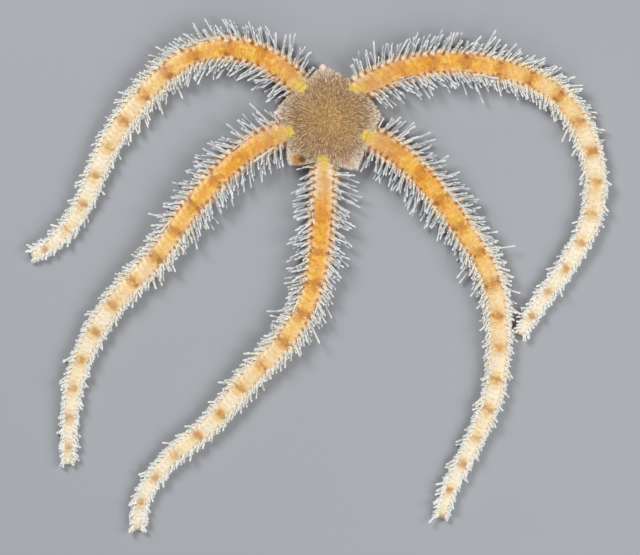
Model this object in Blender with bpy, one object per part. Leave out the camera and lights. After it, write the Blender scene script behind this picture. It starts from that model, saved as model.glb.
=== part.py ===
# A spiny brittle star at life size, lying mouth down with its five arms laid out on a flat surface.
# Metres, +Z up. The origin lies on that surface, under the middle of the animal's box.

import math
import random

import bmesh
import bpy
import numpy as np

MM = 0.001
UP = np.array((0.0, 0.0, 1.0))
NODE_GAP = 0.3 * MM  # between neighbouring pieces
BELOW_FLOOR = -1.0 * MM  # where a cutter ends
MERGE_DISTANCE = 0.0002 * MM
SMOOTH_ANGLE = math.radians(40)
SEED = 11

# Disc
DISC_CENTRE = np.array((1.5, 24.55)) * MM  # sets the middle of the box above the origin
NOTCH_RADIUS = 6.5 * MM  # disc edge above an arm
# Corners of the disc between arms 1-2, 2-3, 3-4, 4-5 and 5-1: their headings and how far they reach
CORNER_HEADINGS = np.radians((172, 228, 300, 2, 96))
CORNER_RADII = np.array((8.6, 9.6, 9.3, 8.6, 8.6)) * MM
CORNER_POWER = 1.3  # over 1 the corners are pointed and the bays above the arms round
DISC_TOP = 5.1 * MM
DOME_POWER = 2.2
NOTCH_SHOULDER = 4.1 * MM  # height of the disc's upper edge above an arm
CORNER_SHOULDER = 2.9 * MM  # the same between arms
DISC_UNDERSIDE = 0.8 * MM
DISC_STEPS = 35
DISC_UNDER_PROFILE = ((0.5, 0.0), (0.9, 0.05), (1.0, 0.62))  # share of radius, share of edge height
DISC_TOP_PROFILE = (0.98, 0.84, 0.58, 0.25)  # shares of radius

# Raised shields, a pair at the root of each arm, and the bead on the corner between arms 5 and 1
SHIELD_REACH, SHIELD_OFFSET = 5.45 * MM, 0.72 * MM  # from the disc's middle, and to either side of the arm
SHIELD_SIZE = np.array((0.85, 0.55, 0.55)) * MM  # half sizes: onward, across, up
SHIELD_SINK = 0.28 * MM
BEAD_REACH, BEAD_RADIUS = 8.2 * MM, 0.6 * MM

# Mouth
MOUTH_HALL_RADIUS = 4.75 * MM  # hollow of the disc that holds the jaws
MOUTH_HALL_TOP = 2.9 * MM
MOUTH_HALL_STEPS = 20
# A jaw: distance from the mouth's middle, half width, underside and top
JAW_STATIONS = np.array(
    (
        (0.9, 0.26, 0.75, 1.9),
        (1.05, 0.38, 0.5, 2.3),
        (1.6, 0.58, 0.45, 2.5),
        (2.4, 0.78, 0.4, 2.5),
        (3.2, 0.98, 0.35, 2.5),
        (4.1, 0.95, 0.35, 2.4),
        (4.4, 0.7, 0.5, 2.2),
    )
) * MM
JAW_SECTION = np.array(
    ((0.6, 0.0), (1.0, 0.2), (1.0, 0.75), (0.6, 1.0), (-0.6, 1.0), (-1.0, 0.75), (-1.0, 0.2), (-0.6, 0.0))
)

# Arms: headings in degrees, turning from +X towards +Y, at the disc's edge and at even steps out to the tip
ROOT_HEADING_REACH = 6.5 * MM
MIDLINE_STEPS = 600
ARMS = {
    "arm_1": (67.6 * MM, 130, (130, 153, 185, 219, 230, 241, 250, 233, 201)),
    "arm_2": (73.0 * MM, 197, (195, 219, 229, 237, 225, 234, 250, 266, 268)),
    "arm_3": (75.1 * MM, 263, (269, 267, 261, 239, 224, 233, 217, 234, 273)),
    "arm_4": (76.8 * MM, 337, (337, 315, 307, 301, 276, 266, 247, 241, 258)),
    "arm_5": (82.9 * MM, 50, (33, 13, -7, -22, -59, -84, -115, -128, -120)),
}
ARM_HALF_WIDTH = 2.25 * MM
ARM_HEIGHT_SHARE = 1.42  # height over half width
TAPER_EVEN, TAPER_LATE = 0.32, 0.33
BODY_START = 6.2 * MM  # distance from the mouth where the arm has its full width
SEGMENT_PITCH = 2.92 * MM  # one modelled segment stands for two or three real ones
PITCH_FALL = 0.1
NARROW, FLARED, FLARE_PLACE = 0.93, 1.05, 0.78
TIP_END = 0.7  # share of the arm's size at its blunt end
LENGTH_NAMES = ("root", "near", "middle", "far", "tip")
LENGTH_CUTS = (0.12, 0.36, 0.59, 0.81)

# Where the arm narrows between the jaws: distance from the mouth, half width and height
ROOT_STATIONS = np.array((2.7, 3.4, 4.2, 5.0, 6.2)) * MM
ROOT_HALF_WIDTHS = np.array((0.45, 0.55, 1.2, 1.9, 2.2)) * MM
ROOT_HEIGHTS = np.array((1.9, 2.1, 2.5, 2.9, 3.15)) * MM

SLEEVE_STATIONS = np.array((2.2, 2.7, 3.4, 4.2, 5.0, 6.2, 7.5, 9.0, 11.0)) * MM
SLEEVE_SWELL = 1.06

# Spines: three to each side of a segment, fanned from low ones to ones that stand up over the arm
SPINE_LENGTH = 4.5 * MM  # with the part inside the arm, at the arm's root
SPINE_SHORTEN = 0.6  # share lost towards the tip
SHORTEN_FROM, SHORTEN_TO = 0.05, 0.8  # shares of the arm between which it is lost
SPINE_SPREAD = 0.12  # share by which lengths differ
SPINE_ROOT, SPINE_TIP = 0.34 * MM, 0.2 * MM  # radii of the three-sided section
# Degrees by which spines lean towards the arm's tip: beside the disc, further out, and at the very tip
SPINE_SWEEP = (-6, 23, 50)
SWEEP_FROM, SWEEP_TO = 8 * MM, 17 * MM  # where the first eases into the second
SPLAY_REACH = 2.6 * MM  # the last stretch of the arm, where it eases into the third
SPINE_WANDER = 7  # degrees at random to either side
SPINE_PLACES = (0.27, 0.54, 0.8)  # shares of a segment
# A row: the root's shares of the half width and of the height, and the degrees that the spine rises
SPINE_ROWS = ((0.45, 0.6, 37), (0.58, 0.45, 14), (0.6, 0.36, -1))
SPINE_FLOOR = 0.25 * MM
SPINE_CLEAR = 0.32 * MM  # between a spine and any other piece
SPINE_CUTS = (1.0, 0.8, 0.62, 0.45)  # shares of its length that a spine is tried at to fit

# Section of an arm: shares of the half width and of the height, round from the lower left
SECTION = np.array(
    ((0.45, 0.0), (1.0, 0.33), (0.86, 0.74), (0.36, 1.0), (-0.36, 1.0), (-0.86, 0.74), (-1.0, 0.33), (-0.45, 0.0))
)

COLOURS = {
    "disc": (0.36, 0.26, 0.15),
    "jaw": (0.74, 0.68, 0.55),
    "root": (0.80, 0.42, 0.12),
    "near": (0.82, 0.40, 0.09),
    "middle": (0.80, 0.47, 0.18),
    "far": (0.80, 0.58, 0.33),
    "tip": (0.82, 0.72, 0.55),
}


def clear_scene():
    for obj in list(bpy.data.objects):
        bpy.data.objects.remove(obj)


def material(name, colour, roughness):
    made = bpy.data.materials.new(name)
    made.use_nodes = True
    shader = made.node_tree.nodes["Principled BSDF"]
    shader.inputs["Base Color"].default_value = (*colour, 1.0)
    shader.inputs["Roughness"].default_value = roughness
    shader.inputs["Metallic"].default_value = 0.0
    return made


def add_object(name, points, faces, finish=None):
    mesh = bpy.data.meshes.new(name)
    mesh.from_pydata([tuple(p) for p in points], [], faces)
    mesh.update()
    obj = bpy.data.objects.new(name, mesh)
    bpy.context.scene.collection.objects.link(obj)
    if finish:
        mesh.materials.append(finish)
    return obj


def stacked_rings(rings):
    """Points and faces of a closed skin over rings of points, with a flat cap at each end."""
    sides = len(rings[0])
    points = np.concatenate(rings)
    faces = [list(range(sides))[::-1]]
    for ring in range(len(rings) - 1):
        low, high = ring * sides, (ring + 1) * sides
        for side in range(sides):
            after = (side + 1) % sides
            faces.append([low + side, low + after, high + after, high + side])
    faces.append([(len(rings) - 1) * sides + side for side in range(sides)])
    return points, faces


class Arm:
    """The midline of one arm: a chain of arcs, and the arm's half width and height along it."""

    def __init__(self, name):
        self.name = name
        self.length, root_heading, headings = ARMS[name]
        stations = np.linspace(ROOT_HEADING_REACH, self.length, len(headings))
        self.stations = np.concatenate([[0.0, 0.5 * ROOT_HEADING_REACH], stations])
        self.headings = np.radians([root_heading, root_heading, *headings])
        self.steps = np.linspace(0.0, self.length, MIDLINE_STEPS)
        middle = np.interp((self.steps[1:] + self.steps[:-1]) / 2, self.stations, self.headings)
        stride = self.steps[1]
        self.x = DISC_CENTRE[0] + np.concatenate([[0.0], np.cumsum(np.cos(middle)) * stride])
        self.y = DISC_CENTRE[1] + np.concatenate([[0.0], np.cumsum(np.sin(middle)) * stride])
        count = round((self.length - BODY_START) / SEGMENT_PITCH)
        share = np.linspace(0.0, 1.0, count + 1)
        share = (1 + PITCH_FALL) * share - PITCH_FALL * share**2
        self.joints = BODY_START + (self.length - BODY_START) * share

    def frame(self, s):
        """Point on the floor under the midline at distance s, the way on, and the way to the left."""
        heading = float(np.interp(s, self.stations, self.headings))
        point = np.array((np.interp(s, self.steps, self.x), np.interp(s, self.steps, self.y), 0.0))
        onward = np.array((math.cos(heading), math.sin(heading), 0.0))
        left = np.array((-math.sin(heading), math.cos(heading), 0.0))
        return point, onward, left

    def share(self, s):
        return min(max((s - BODY_START) / (self.length - BODY_START), 0.0), 1.0)

    def size(self, s):
        """Half width and height at distance s from the mouth."""
        if s < BODY_START:
            return np.interp(s, ROOT_STATIONS, ROOT_HALF_WIDTHS), np.interp(s, ROOT_STATIONS, ROOT_HEIGHTS)
        t = self.share(s)
        half = ARM_HALF_WIDTH * (1 - TAPER_EVEN * t - TAPER_LATE * t**3)
        return half, half * ARM_HEIGHT_SHARE

    def ring(self, s, swell=1.0, margin=0.0):
        """The section at distance s, swollen by a factor and then by a margin all round."""
        point, _, left = self.frame(s)
        half, height = self.size(s)
        across = SECTION[:, 0] * (half * swell + margin)
        up = SECTION[:, 1] * (height * swell + margin)
        return point + np.outer(across, left) + np.outer(up, UP)

    def cuts(self):
        count = len(self.joints) - 1
        return [0, *(round(count * share) for share in LENGTH_CUTS), count]


def arm_core(arm, first, last):
    """Rings of one length of an arm: each segment widens towards its far end, where plates stand out."""
    rings = []
    if first == 0:
        rings += [arm.ring(s) for s in ROOT_STATIONS[:-1]]
    for k in range(first, last):
        start, pitch = arm.joints[k], arm.joints[k + 1] - arm.joints[k]
        if k == first and first > 0:
            start += NODE_GAP / 2
        rings.append(arm.ring(start, NARROW))
        rings.append(arm.ring(arm.joints[k] + FLARE_PLACE * pitch, FLARED))
    if last == len(arm.joints) - 1:
        rings.append(arm.ring(arm.joints[last], TIP_END))
    else:
        rings.append(arm.ring(arm.joints[last] - NODE_GAP / 2, NARROW))
    return stacked_rings(rings)


def spine_length(arm, s):
    t = min(max((arm.share(s) - SHORTEN_FROM) / (SHORTEN_TO - SHORTEN_FROM), 0.0), 1.0)
    return SPINE_LENGTH * (1 - SPINE_SHORTEN * t * t * (3 - 2 * t))


def spine_sweep(arm, s):
    """Degrees by which the spines at distance s lean towards the arm's tip."""
    near, far, end = SPINE_SWEEP
    settled = min(max((s - SWEEP_FROM) / (SWEEP_TO - SWEEP_FROM), 0.0), 1.0)
    splay = min(max(1 - (arm.length - s) / SPLAY_REACH, 0.0), 1.0)
    return near + (far - near) * settled + (end - far) * splay


def spine_line(arm, s, side, row, wander, stretch):
    """Root and tip of the spine of a row that leaves the arm's side at distance s from the mouth."""
    share_out, share_up, rise = SPINE_ROWS[row]
    half, height = arm.size(s)
    sweep = math.radians(spine_sweep(arm, s) + wander)
    root_s = s - (1 - share_out) * half * math.tan(sweep)
    point, onward, left = arm.frame(root_s)
    root = point + side * share_out * half * left + share_up * height * UP
    outward = math.cos(sweep) * side * left + math.sin(sweep) * onward
    rise = math.radians(rise + 0.5 * wander)
    tip = root + spine_length(arm, s) * stretch * (math.cos(rise) * outward + math.sin(rise) * UP)
    tip[2] = max(tip[2], SPINE_FLOOR + SPINE_TIP)
    return root, tip


def line_points(root, tip, steps=10):
    return root + np.linspace(0.0, 1.0, steps)[:, None] * (tip - root)


def clear_of_disc(points):
    """True where all of a spine's points lie beyond the disc's edge, seen from above."""
    out = points[:, :2] - DISC_CENTRE
    edge = round_disc(np.arctan2(out[:, 1], out[:, 0]), NOTCH_RADIUS, CORNER_RADII)
    return bool(np.all(np.hypot(out[:, 0], out[:, 1]) > edge + SPINE_ROOT + SPINE_CLEAR))


def clear_of_arms(points, own, arms):
    """True where a spine's points keep off the bodies of the other arms."""
    for arm in arms:
        if arm is own:
            continue
        apart = np.hypot(points[:, 0, None] - arm.x, points[:, 1, None] - arm.y)
        halves = np.array([arm.size(s)[0] for s in arm.steps[::10]])
        reach = np.interp(arm.steps, arm.steps[::10], halves) * FLARED + SPINE_ROOT + SPINE_CLEAR
        if np.any(apart < reach):
            return False
    return True


def lay_spines(arms):
    """Spines of each arm's lengths as (root, tip) lines; one that meets a neighbour is cut or left out."""
    dice = random.Random(SEED)
    laid = {}
    taken, owners = np.empty((0, 3)), np.empty(0, dtype=int)
    for number, arm in enumerate(arms):
        cuts = arm.cuts()
        for part, name in enumerate(LENGTH_NAMES):
            node = number * len(LENGTH_NAMES) + part
            lines = []
            for k in range(cuts[part], cuts[part + 1]):
                for place in range(len(SPINE_PLACES)):
                    for side in (-1, 1):
                        pitch = arm.joints[k + 1] - arm.joints[k]
                        s = arm.joints[k] + SPINE_PLACES[place] * pitch
                        row = (place + k) % len(SPINE_ROWS)
                        wander = dice.uniform(-SPINE_WANDER, SPINE_WANDER)
                        stretch = 1 + dice.uniform(-SPINE_SPREAD, SPINE_SPREAD)
                        for cut in SPINE_CUTS:
                            root, tip = spine_line(arm, s, side, row, wander, stretch * cut)
                            points = line_points(root, tip)
                            others = taken[owners != node]
                            apart = np.linalg.norm(points[:, None] - others, axis=2)
                            if len(others) and apart.min() < 2 * SPINE_ROOT + SPINE_CLEAR:
                                continue
                            if clear_of_disc(points) and clear_of_arms(points, arm, arms):
                                lines.append((root, tip))
                                taken = np.concatenate([taken, points])
                                owners = np.concatenate([owners, np.full(len(points), node)])
                                break
            laid[f"{arm.name}_{name}"] = lines
    return laid


def spine_body(root, tip):
    """A tapered three-sided rod."""
    along = (tip - root) / np.linalg.norm(tip - root)
    across = np.cross(along, UP)
    across /= np.linalg.norm(across)
    upward = np.cross(across, along)
    rings = []
    for point, radius in ((root, SPINE_ROOT), (tip, SPINE_TIP)):
        turn = np.radians((210, 330, 90))
        rings.append(point + radius * (np.outer(np.cos(turn), across) + np.outer(np.sin(turn), upward)))
    return stacked_rings([ring[::-1] for ring in rings])


def gap_angles():
    """Heading midway between each arm and the next one round."""
    roots = [math.radians(ARMS[name][1]) for name in ARMS]
    return [roots[i] + 0.5 * ((roots[(i + 1) % 5] - roots[i]) % (2 * math.pi)) for i in range(5)]


def round_disc(angles, at_arms, at_corners):
    """A value round the disc: at_arms in the bays above the arms, at_corners on the five corners."""
    bays = np.radians([ARMS[name][1] for name in ARMS])
    places = np.mod(np.stack([bays, CORNER_HEADINGS], 1).ravel(), 2 * math.pi)
    corner = np.tile((0.0, 1.0), len(bays))
    values = np.stack([np.full(len(bays), at_arms), at_corners], 1).ravel()
    order = np.argsort(places)
    wrapped = np.concatenate([order[-1:], order, order[:1]])
    places, corner, values = places[wrapped], corner[wrapped], values[wrapped]
    places[0] -= 2 * math.pi
    places[-1] += 2 * math.pi
    turned = np.mod(angles, 2 * math.pi)
    before = np.clip(np.searchsorted(places, turned, side="right") - 1, 0, len(places) - 2)
    part = (turned - places[before]) / (places[before + 1] - places[before])
    rise = np.where(corner[before] > 0, 1 - part, part) ** CORNER_POWER
    high = np.where(corner[before] > 0, values[before], values[before + 1])
    low = np.where(corner[before] > 0, values[before + 1], values[before])
    return low + (high - low) * rise


def disc_blank():
    """The uncut disc: a low dome with a rounded edge and a flat underside."""
    angles = np.linspace(0, 2 * math.pi, DISC_STEPS, endpoint=False)
    reach = round_disc(angles, NOTCH_RADIUS, CORNER_RADII)
    shoulder = round_disc(angles, NOTCH_SHOULDER, [CORNER_SHOULDER] * 5)
    rings = []
    for share, drop in DISC_UNDER_PROFILE:
        height = DISC_UNDERSIDE + drop * (shoulder - DISC_UNDERSIDE)
        rings.append(disc_ring(angles, reach * share, height))
    for share in DISC_TOP_PROFILE:
        height = DISC_TOP - (DISC_TOP - shoulder) * share**DOME_POWER
        rings.append(disc_ring(angles, reach * share, height))
    return stacked_rings(rings)


def disc_ring(angles, radii, heights):
    across = DISC_CENTRE[0] + np.cos(angles) * radii
    along = DISC_CENTRE[1] + np.sin(angles) * radii
    return np.stack([across, along, heights + 0 * angles], axis=1)


def arm_sleeve(arm):
    """A swollen copy of the inner end of an arm, down through the floor, to cut its groove in the disc."""
    rings = []
    for s in SLEEVE_STATIONS:
        ring = arm.ring(s, SLEEVE_SWELL, NODE_GAP)
        ring[[0, 1, -2, -1], 2] = BELOW_FLOOR
        rings.append(ring)
    return stacked_rings(rings)


def mouth_hall():
    """A round cutter for the hollow above the jaws."""
    angles = np.linspace(0, 2 * math.pi, MOUTH_HALL_STEPS, endpoint=False)
    radii = np.full(MOUTH_HALL_STEPS, MOUTH_HALL_RADIUS)
    return stacked_rings([disc_ring(angles, radii, height) for height in (BELOW_FLOOR, MOUTH_HALL_TOP)])


def collect(name, pieces):
    """A collection of closed pieces to join to a body or to cut from it."""
    collection = bpy.data.collections.new(name)
    for i, (points, faces) in enumerate(pieces):
        obj = add_object(f"{name}_{i}", points, faces)
        bpy.context.scene.collection.objects.unlink(obj)
        collection.objects.link(obj)
    return collection


def carve(body, operation, pieces):
    """Joins or cuts closed pieces in one step, then keeps the largest closed surface."""
    collection = collect(f"{body.name}_pieces", pieces)
    modifier = body.modifiers.new("carve", "BOOLEAN")
    modifier.operation = operation
    modifier.operand_type = "COLLECTION"
    modifier.collection = collection
    modifier.solver = "EXACT"
    evaluated = body.evaluated_get(bpy.context.evaluated_depsgraph_get())
    result = bpy.data.meshes.new_from_object(evaluated)
    body.modifiers.remove(modifier)
    body.data = result
    for obj in list(collection.objects):
        bpy.data.objects.remove(obj)
    bpy.data.collections.remove(collection)
    keep_largest(body)


def keep_largest(body):
    """Merges points that touch and keeps only the connected surface with the most points."""
    mesh = bmesh.new()
    mesh.from_mesh(body.data)
    bmesh.ops.remove_doubles(mesh, verts=mesh.verts, dist=MERGE_DISTANCE)
    bmesh.ops.dissolve_degenerate(mesh, dist=MERGE_DISTANCE, edges=mesh.edges)
    waiting = set(mesh.verts)
    groups = []
    while waiting:
        group, edge = set(), [waiting.pop()]
        while edge:
            vertex = edge.pop()
            group.add(vertex)
            for link in vertex.link_edges:
                other = link.other_vert(vertex)
                if other in waiting:
                    waiting.discard(other)
                    edge.append(other)
        groups.append(group)
    groups.sort(key=len)
    spare = [vertex for group in groups[:-1] for vertex in group]
    bmesh.ops.delete(mesh, geom=spare, context="VERTS")
    bmesh.ops.triangulate(mesh, faces=mesh.faces)
    mesh.to_mesh(body.data)
    mesh.free()


def disc_height(angle, reach):
    """Height of the disc's upper face at a heading and a distance from its middle."""
    edge = round_disc(angle, NOTCH_RADIUS, CORNER_RADII)
    shoulder = round_disc(angle, NOTCH_SHOULDER, [CORNER_SHOULDER] * 5)
    return DISC_TOP - (DISC_TOP - shoulder) * (reach / edge) ** DOME_POWER


def pebble(heading, place, sizes, sides=7):
    """A low ellipsoid turned to a heading."""
    onward = np.array((math.cos(heading), math.sin(heading), 0.0))
    left = np.array((-math.sin(heading), math.cos(heading), 0.0))
    turn = np.linspace(0, 2 * math.pi, sides, endpoint=False)
    rings = []
    for lift in np.radians((-50, 8, 50)):
        across = np.outer(np.cos(turn) * sizes[0], onward) + np.outer(np.sin(turn) * sizes[1], left)
        rings.append(place + math.cos(lift) * across + math.sin(lift) * sizes[2] * UP)
    return stacked_rings(rings)


def on_disc(heading, reach, offset, sink):
    """A point at a distance along a heading and off to its left, sunk below the disc's upper face."""
    out = reach * np.array((math.cos(heading), math.sin(heading)))
    out += offset * np.array((-math.sin(heading), math.cos(heading)))
    height = disc_height(math.atan2(out[1], out[0]), math.hypot(*out))
    return np.array((*(DISC_CENTRE + out), height - sink))


def build_disc(arms, finish):
    disc = add_object("disc", *disc_blank(), finish)
    raised = []
    for name in ARMS:
        heading = math.radians(ARMS[name][1])
        for side in (-1, 1):
            place = on_disc(heading, SHIELD_REACH, side * SHIELD_OFFSET, SHIELD_SINK)
            raised.append(pebble(heading, place, SHIELD_SIZE))
    corner = CORNER_HEADINGS[-1]
    raised.append(pebble(corner, on_disc(corner, BEAD_REACH, 0.0, 0.0), np.full(3, BEAD_RADIUS)))
    carve(disc, "UNION", raised)
    carve(disc, "DIFFERENCE", [mouth_hall()] + [arm_sleeve(arm) for arm in arms])


def shade_round(obj):
    """Smooth shading, with the sharp edges kept."""
    obj.data.shade_smooth()
    obj.data.set_sharp_from_angle(angle=SMOOTH_ANGLE)


def build_jaw(name, heading, finish):
    """A wedge that points at the mouth, its outer end the shield that closes the gap between two arms."""
    onward = np.array((math.cos(heading), math.sin(heading), 0.0))
    left = np.array((-math.sin(heading), math.cos(heading), 0.0))
    centre = np.array((*DISC_CENTRE, 0.0))
    rings = []
    for reach, half, low, high in JAW_STATIONS:
        across = JAW_SECTION[:, 0] * half
        up = low + JAW_SECTION[:, 1] * (high - low)
        rings.append(centre + reach * onward + np.outer(across, left) + np.outer(up, UP))
    add_object(name, *stacked_rings(rings), finish)


def main():
    clear_scene()
    finishes = {name: material(name, colour, 0.6) for name, colour in COLOURS.items()}
    arms = [Arm(name) for name in ARMS]
    build_disc(arms, finishes["disc"])
    for i, heading in enumerate(gap_angles()):
        build_jaw(f"jaw_{i + 1}", heading, finishes["jaw"])
    spines = lay_spines(arms)
    for arm in arms:
        cuts = arm.cuts()
        for i, part in enumerate(LENGTH_NAMES):
            length = add_object(f"{arm.name}_{part}", *arm_core(arm, cuts[i], cuts[i + 1]), finishes[part])
            carve(length, "UNION", [spine_body(root, tip) for root, tip in spines[length.name]])
    for obj in bpy.data.objects:
        shade_round(obj)


main()
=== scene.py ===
import math

import bpy
import numpy as np
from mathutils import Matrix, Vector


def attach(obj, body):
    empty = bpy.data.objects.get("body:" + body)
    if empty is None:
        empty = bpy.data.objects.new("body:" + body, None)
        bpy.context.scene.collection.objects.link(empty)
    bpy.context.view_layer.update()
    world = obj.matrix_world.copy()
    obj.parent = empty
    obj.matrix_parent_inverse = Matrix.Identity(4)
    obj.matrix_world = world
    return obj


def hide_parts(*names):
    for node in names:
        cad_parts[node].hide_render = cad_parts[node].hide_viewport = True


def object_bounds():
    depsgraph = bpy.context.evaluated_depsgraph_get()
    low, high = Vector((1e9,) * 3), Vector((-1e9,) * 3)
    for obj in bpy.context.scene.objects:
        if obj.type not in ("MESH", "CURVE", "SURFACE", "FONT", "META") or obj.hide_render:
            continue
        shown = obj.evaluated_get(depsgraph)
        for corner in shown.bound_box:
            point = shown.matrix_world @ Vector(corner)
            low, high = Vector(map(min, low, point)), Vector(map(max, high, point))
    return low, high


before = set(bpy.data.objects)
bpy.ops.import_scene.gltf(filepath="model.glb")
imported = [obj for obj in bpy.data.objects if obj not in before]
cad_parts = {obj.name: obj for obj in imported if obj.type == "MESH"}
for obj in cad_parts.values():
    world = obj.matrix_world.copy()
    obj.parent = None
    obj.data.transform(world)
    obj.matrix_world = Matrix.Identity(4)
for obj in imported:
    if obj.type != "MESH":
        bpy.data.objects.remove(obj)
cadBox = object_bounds()
mm = 0.001  # in metres
up = np.array((0.0, 0.0, 1.0))

# Shared lines of the body, as in the solids: all lengths in mm, all headings in degrees from +X towards +Y
body = {
    "discCentre": np.array((1.5, 24.55)),
    "arms": {  # length, heading at the root, headings at even stations out to the tip
        "arm_1": (67.6, 130, (130, 153, 185, 219, 230, 241, 250, 233, 201)),
        "arm_2": (73.0, 197, (195, 219, 229, 237, 225, 234, 250, 266, 268)),
        "arm_3": (75.1, 263, (269, 267, 261, 239, 224, 233, 217, 234, 273)),
        "arm_4": (76.8, 337, (337, 315, 307, 301, 276, 266, 247, 241, 258)),
        "arm_5": (82.9, 50, (33, 13, -7, -22, -59, -84, -115, -128, -120)),
    },
    "firstStation": 6.5,  # where the first of the even headings stands
    "steps": 2400,  # that an arm's line is summed over
    "bodyStart": 6.2,
    "halfWidth": 2.25,
    "heightShare": 1.42,
    "taper": (0.32, 0.33),  # even, and late
    "rootStations": (2.7, 3.4, 4.2, 5.0, 6.2),
    "rootHalfWidths": (0.45, 0.55, 1.2, 1.9, 2.2),
    "rootHeights": (1.9, 2.1, 2.5, 2.9, 3.15),
    "bayRadius": 6.5,  # the disc's edge above an arm
    "cornerHeadings": (172, 228, 300, 2, 96),
    "cornerRadii": (8.6, 9.6, 9.3, 8.6, 8.6),
    "cornerPower": 1.3,
    "discTop": 4.93,  # of the skin, under the rods
    "highest": 5.09,  # of anything
    "domePower": 2.2,
    "shoulders": (3.35, 2.9),  # the disc's upper edge above an arm, and at a corner
    "discUnderside": 0.8,
}


def smooth(low, high, x):
    # 3t^2 - 2t^3, where t runs from 0 at low to 1 at high
    t = np.clip((x - low) / (high - low), 0.0, 1.0)
    return t * t * (3 - 2 * t)


def armLine(name):
    # Heading: even between stations. Position: its running sum over short steps. Phases: the sum of 1/pitch
    length, rootHeading, headings = body["arms"][name]
    first = body["firstStation"]
    stations = np.concatenate([[0.0, first / 2], np.linspace(first, length, len(headings))])
    turns = np.radians([rootHeading, rootHeading, *headings])
    steps = np.linspace(0.0, length, body["steps"])
    stride = steps[1]
    middle = np.interp((steps[1:] + steps[:-1]) / 2, stations, turns)
    x = body["discCentre"][0] + np.concatenate([[0.0], np.cumsum(np.cos(middle)) * stride])
    y = body["discCentre"][1] + np.concatenate([[0.0], np.cumsum(np.sin(middle)) * stride])
    share = np.clip((steps - body["bodyStart"]) / (length - body["bodyStart"]), 0.0, 1.0)
    firstPitch, lastPitch = armSkin["pitch"]
    segment = np.cumsum(stride / (firstPitch + (lastPitch - firstPitch) * share))
    firstGap, lastGap = armSkin["spotGap"]
    spot = np.cumsum(stride / (firstGap + (lastGap - firstGap) * share**2))
    spot -= np.interp(armSkin["spotAt"][name], steps, spot)
    return {"name": name, "length": length, "steps": steps, "x": x, "y": y, "share": share,
            "heading": np.interp(steps, stations, turns), "segment": segment, "spot": spot}


def along(line, what, s):
    # One of the arm line's running values at distance s
    return np.interp(s, line["steps"], line[what])


def armSize(line, s):
    # Half width: a taper that is partly even and partly late; between the jaws it follows the root stations
    t = along(line, "share", s)
    half = body["halfWidth"] * (1 - body["taper"][0] * t - body["taper"][1] * t**3)
    height = half * body["heightShare"]
    inner = s < body["bodyStart"]
    half = np.where(inner, np.interp(s, body["rootStations"], body["rootHalfWidths"]), half)
    height = np.where(inner, np.interp(s, body["rootStations"], body["rootHeights"]), height)
    return half, height


def armPoint(line, s, across, upward):
    # Midline point, moved to the left of the heading by across, and up
    heading = along(line, "heading", s)
    x = along(line, "x", s) - np.sin(heading) * across
    y = along(line, "y", s) + np.cos(heading) * across
    return np.stack(np.broadcast_arrays(x, y, upward), -1)


def armHeadings():
    return [math.radians(spec[1]) for spec in body["arms"].values()]


def gapHeadings():
    # Halfway round from each arm to the next
    roots = armHeadings()
    return [roots[i] + 0.5 * ((roots[(i + 1) % 5] - roots[i]) % (2 * math.pi)) for i in range(5)]


def turnFrom(angles, headings):
    # The least angle to any of the headings
    turns = [np.abs(np.mod(angles - heading + math.pi, 2 * math.pi) - math.pi) for heading in headings]
    return np.min(turns, 0)


def roundDisc(angles, atArms, atCorners):
    # From atArms above each arm to the corner's own value: low + (high - low) (share of the way there)^power
    places = np.mod(np.concatenate([armHeadings(), np.radians(body["cornerHeadings"])]), 2 * math.pi)
    values = np.concatenate([np.full(5, atArms), atCorners])
    order = np.argsort(places)
    order = np.concatenate([order[-1:], order, order[:1]])
    isCorner, values, places = order >= 5, values[order], places[order]
    places[0] -= 2 * math.pi
    places[-1] += 2 * math.pi
    turned = np.mod(angles, 2 * math.pi)
    before = np.clip(np.searchsorted(places, turned, side="right") - 1, 0, len(places) - 2)
    way = (turned - places[before]) / (places[before + 1] - places[before])
    rise = np.where(isCorner[before], 1 - way, way) ** body["cornerPower"]
    high = np.where(isCorner[before], values[before], values[before + 1])
    low = np.where(isCorner[before], values[before + 1], values[before])
    return low + (high - low) * rise


def discEdge(angles):
    # How far the disc reaches: least above the arms, most on its corners
    return roundDisc(angles, body["bayRadius"], body["cornerRadii"])


def discShoulder(angles):
    # The height of the disc's upper edge, eased the same way
    return roundDisc(angles, body["shoulders"][0], np.full(5, body["shoulders"][1]))


def discHeight(angles, reach):
    # Dome: the top less its drop to the shoulder, times the share of the edge's reach to a power
    drop = body["discTop"] - discShoulder(angles)
    return body["discTop"] - drop * np.clip(reach / discEdge(angles), 0, 1.02) ** body["domePower"]


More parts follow.
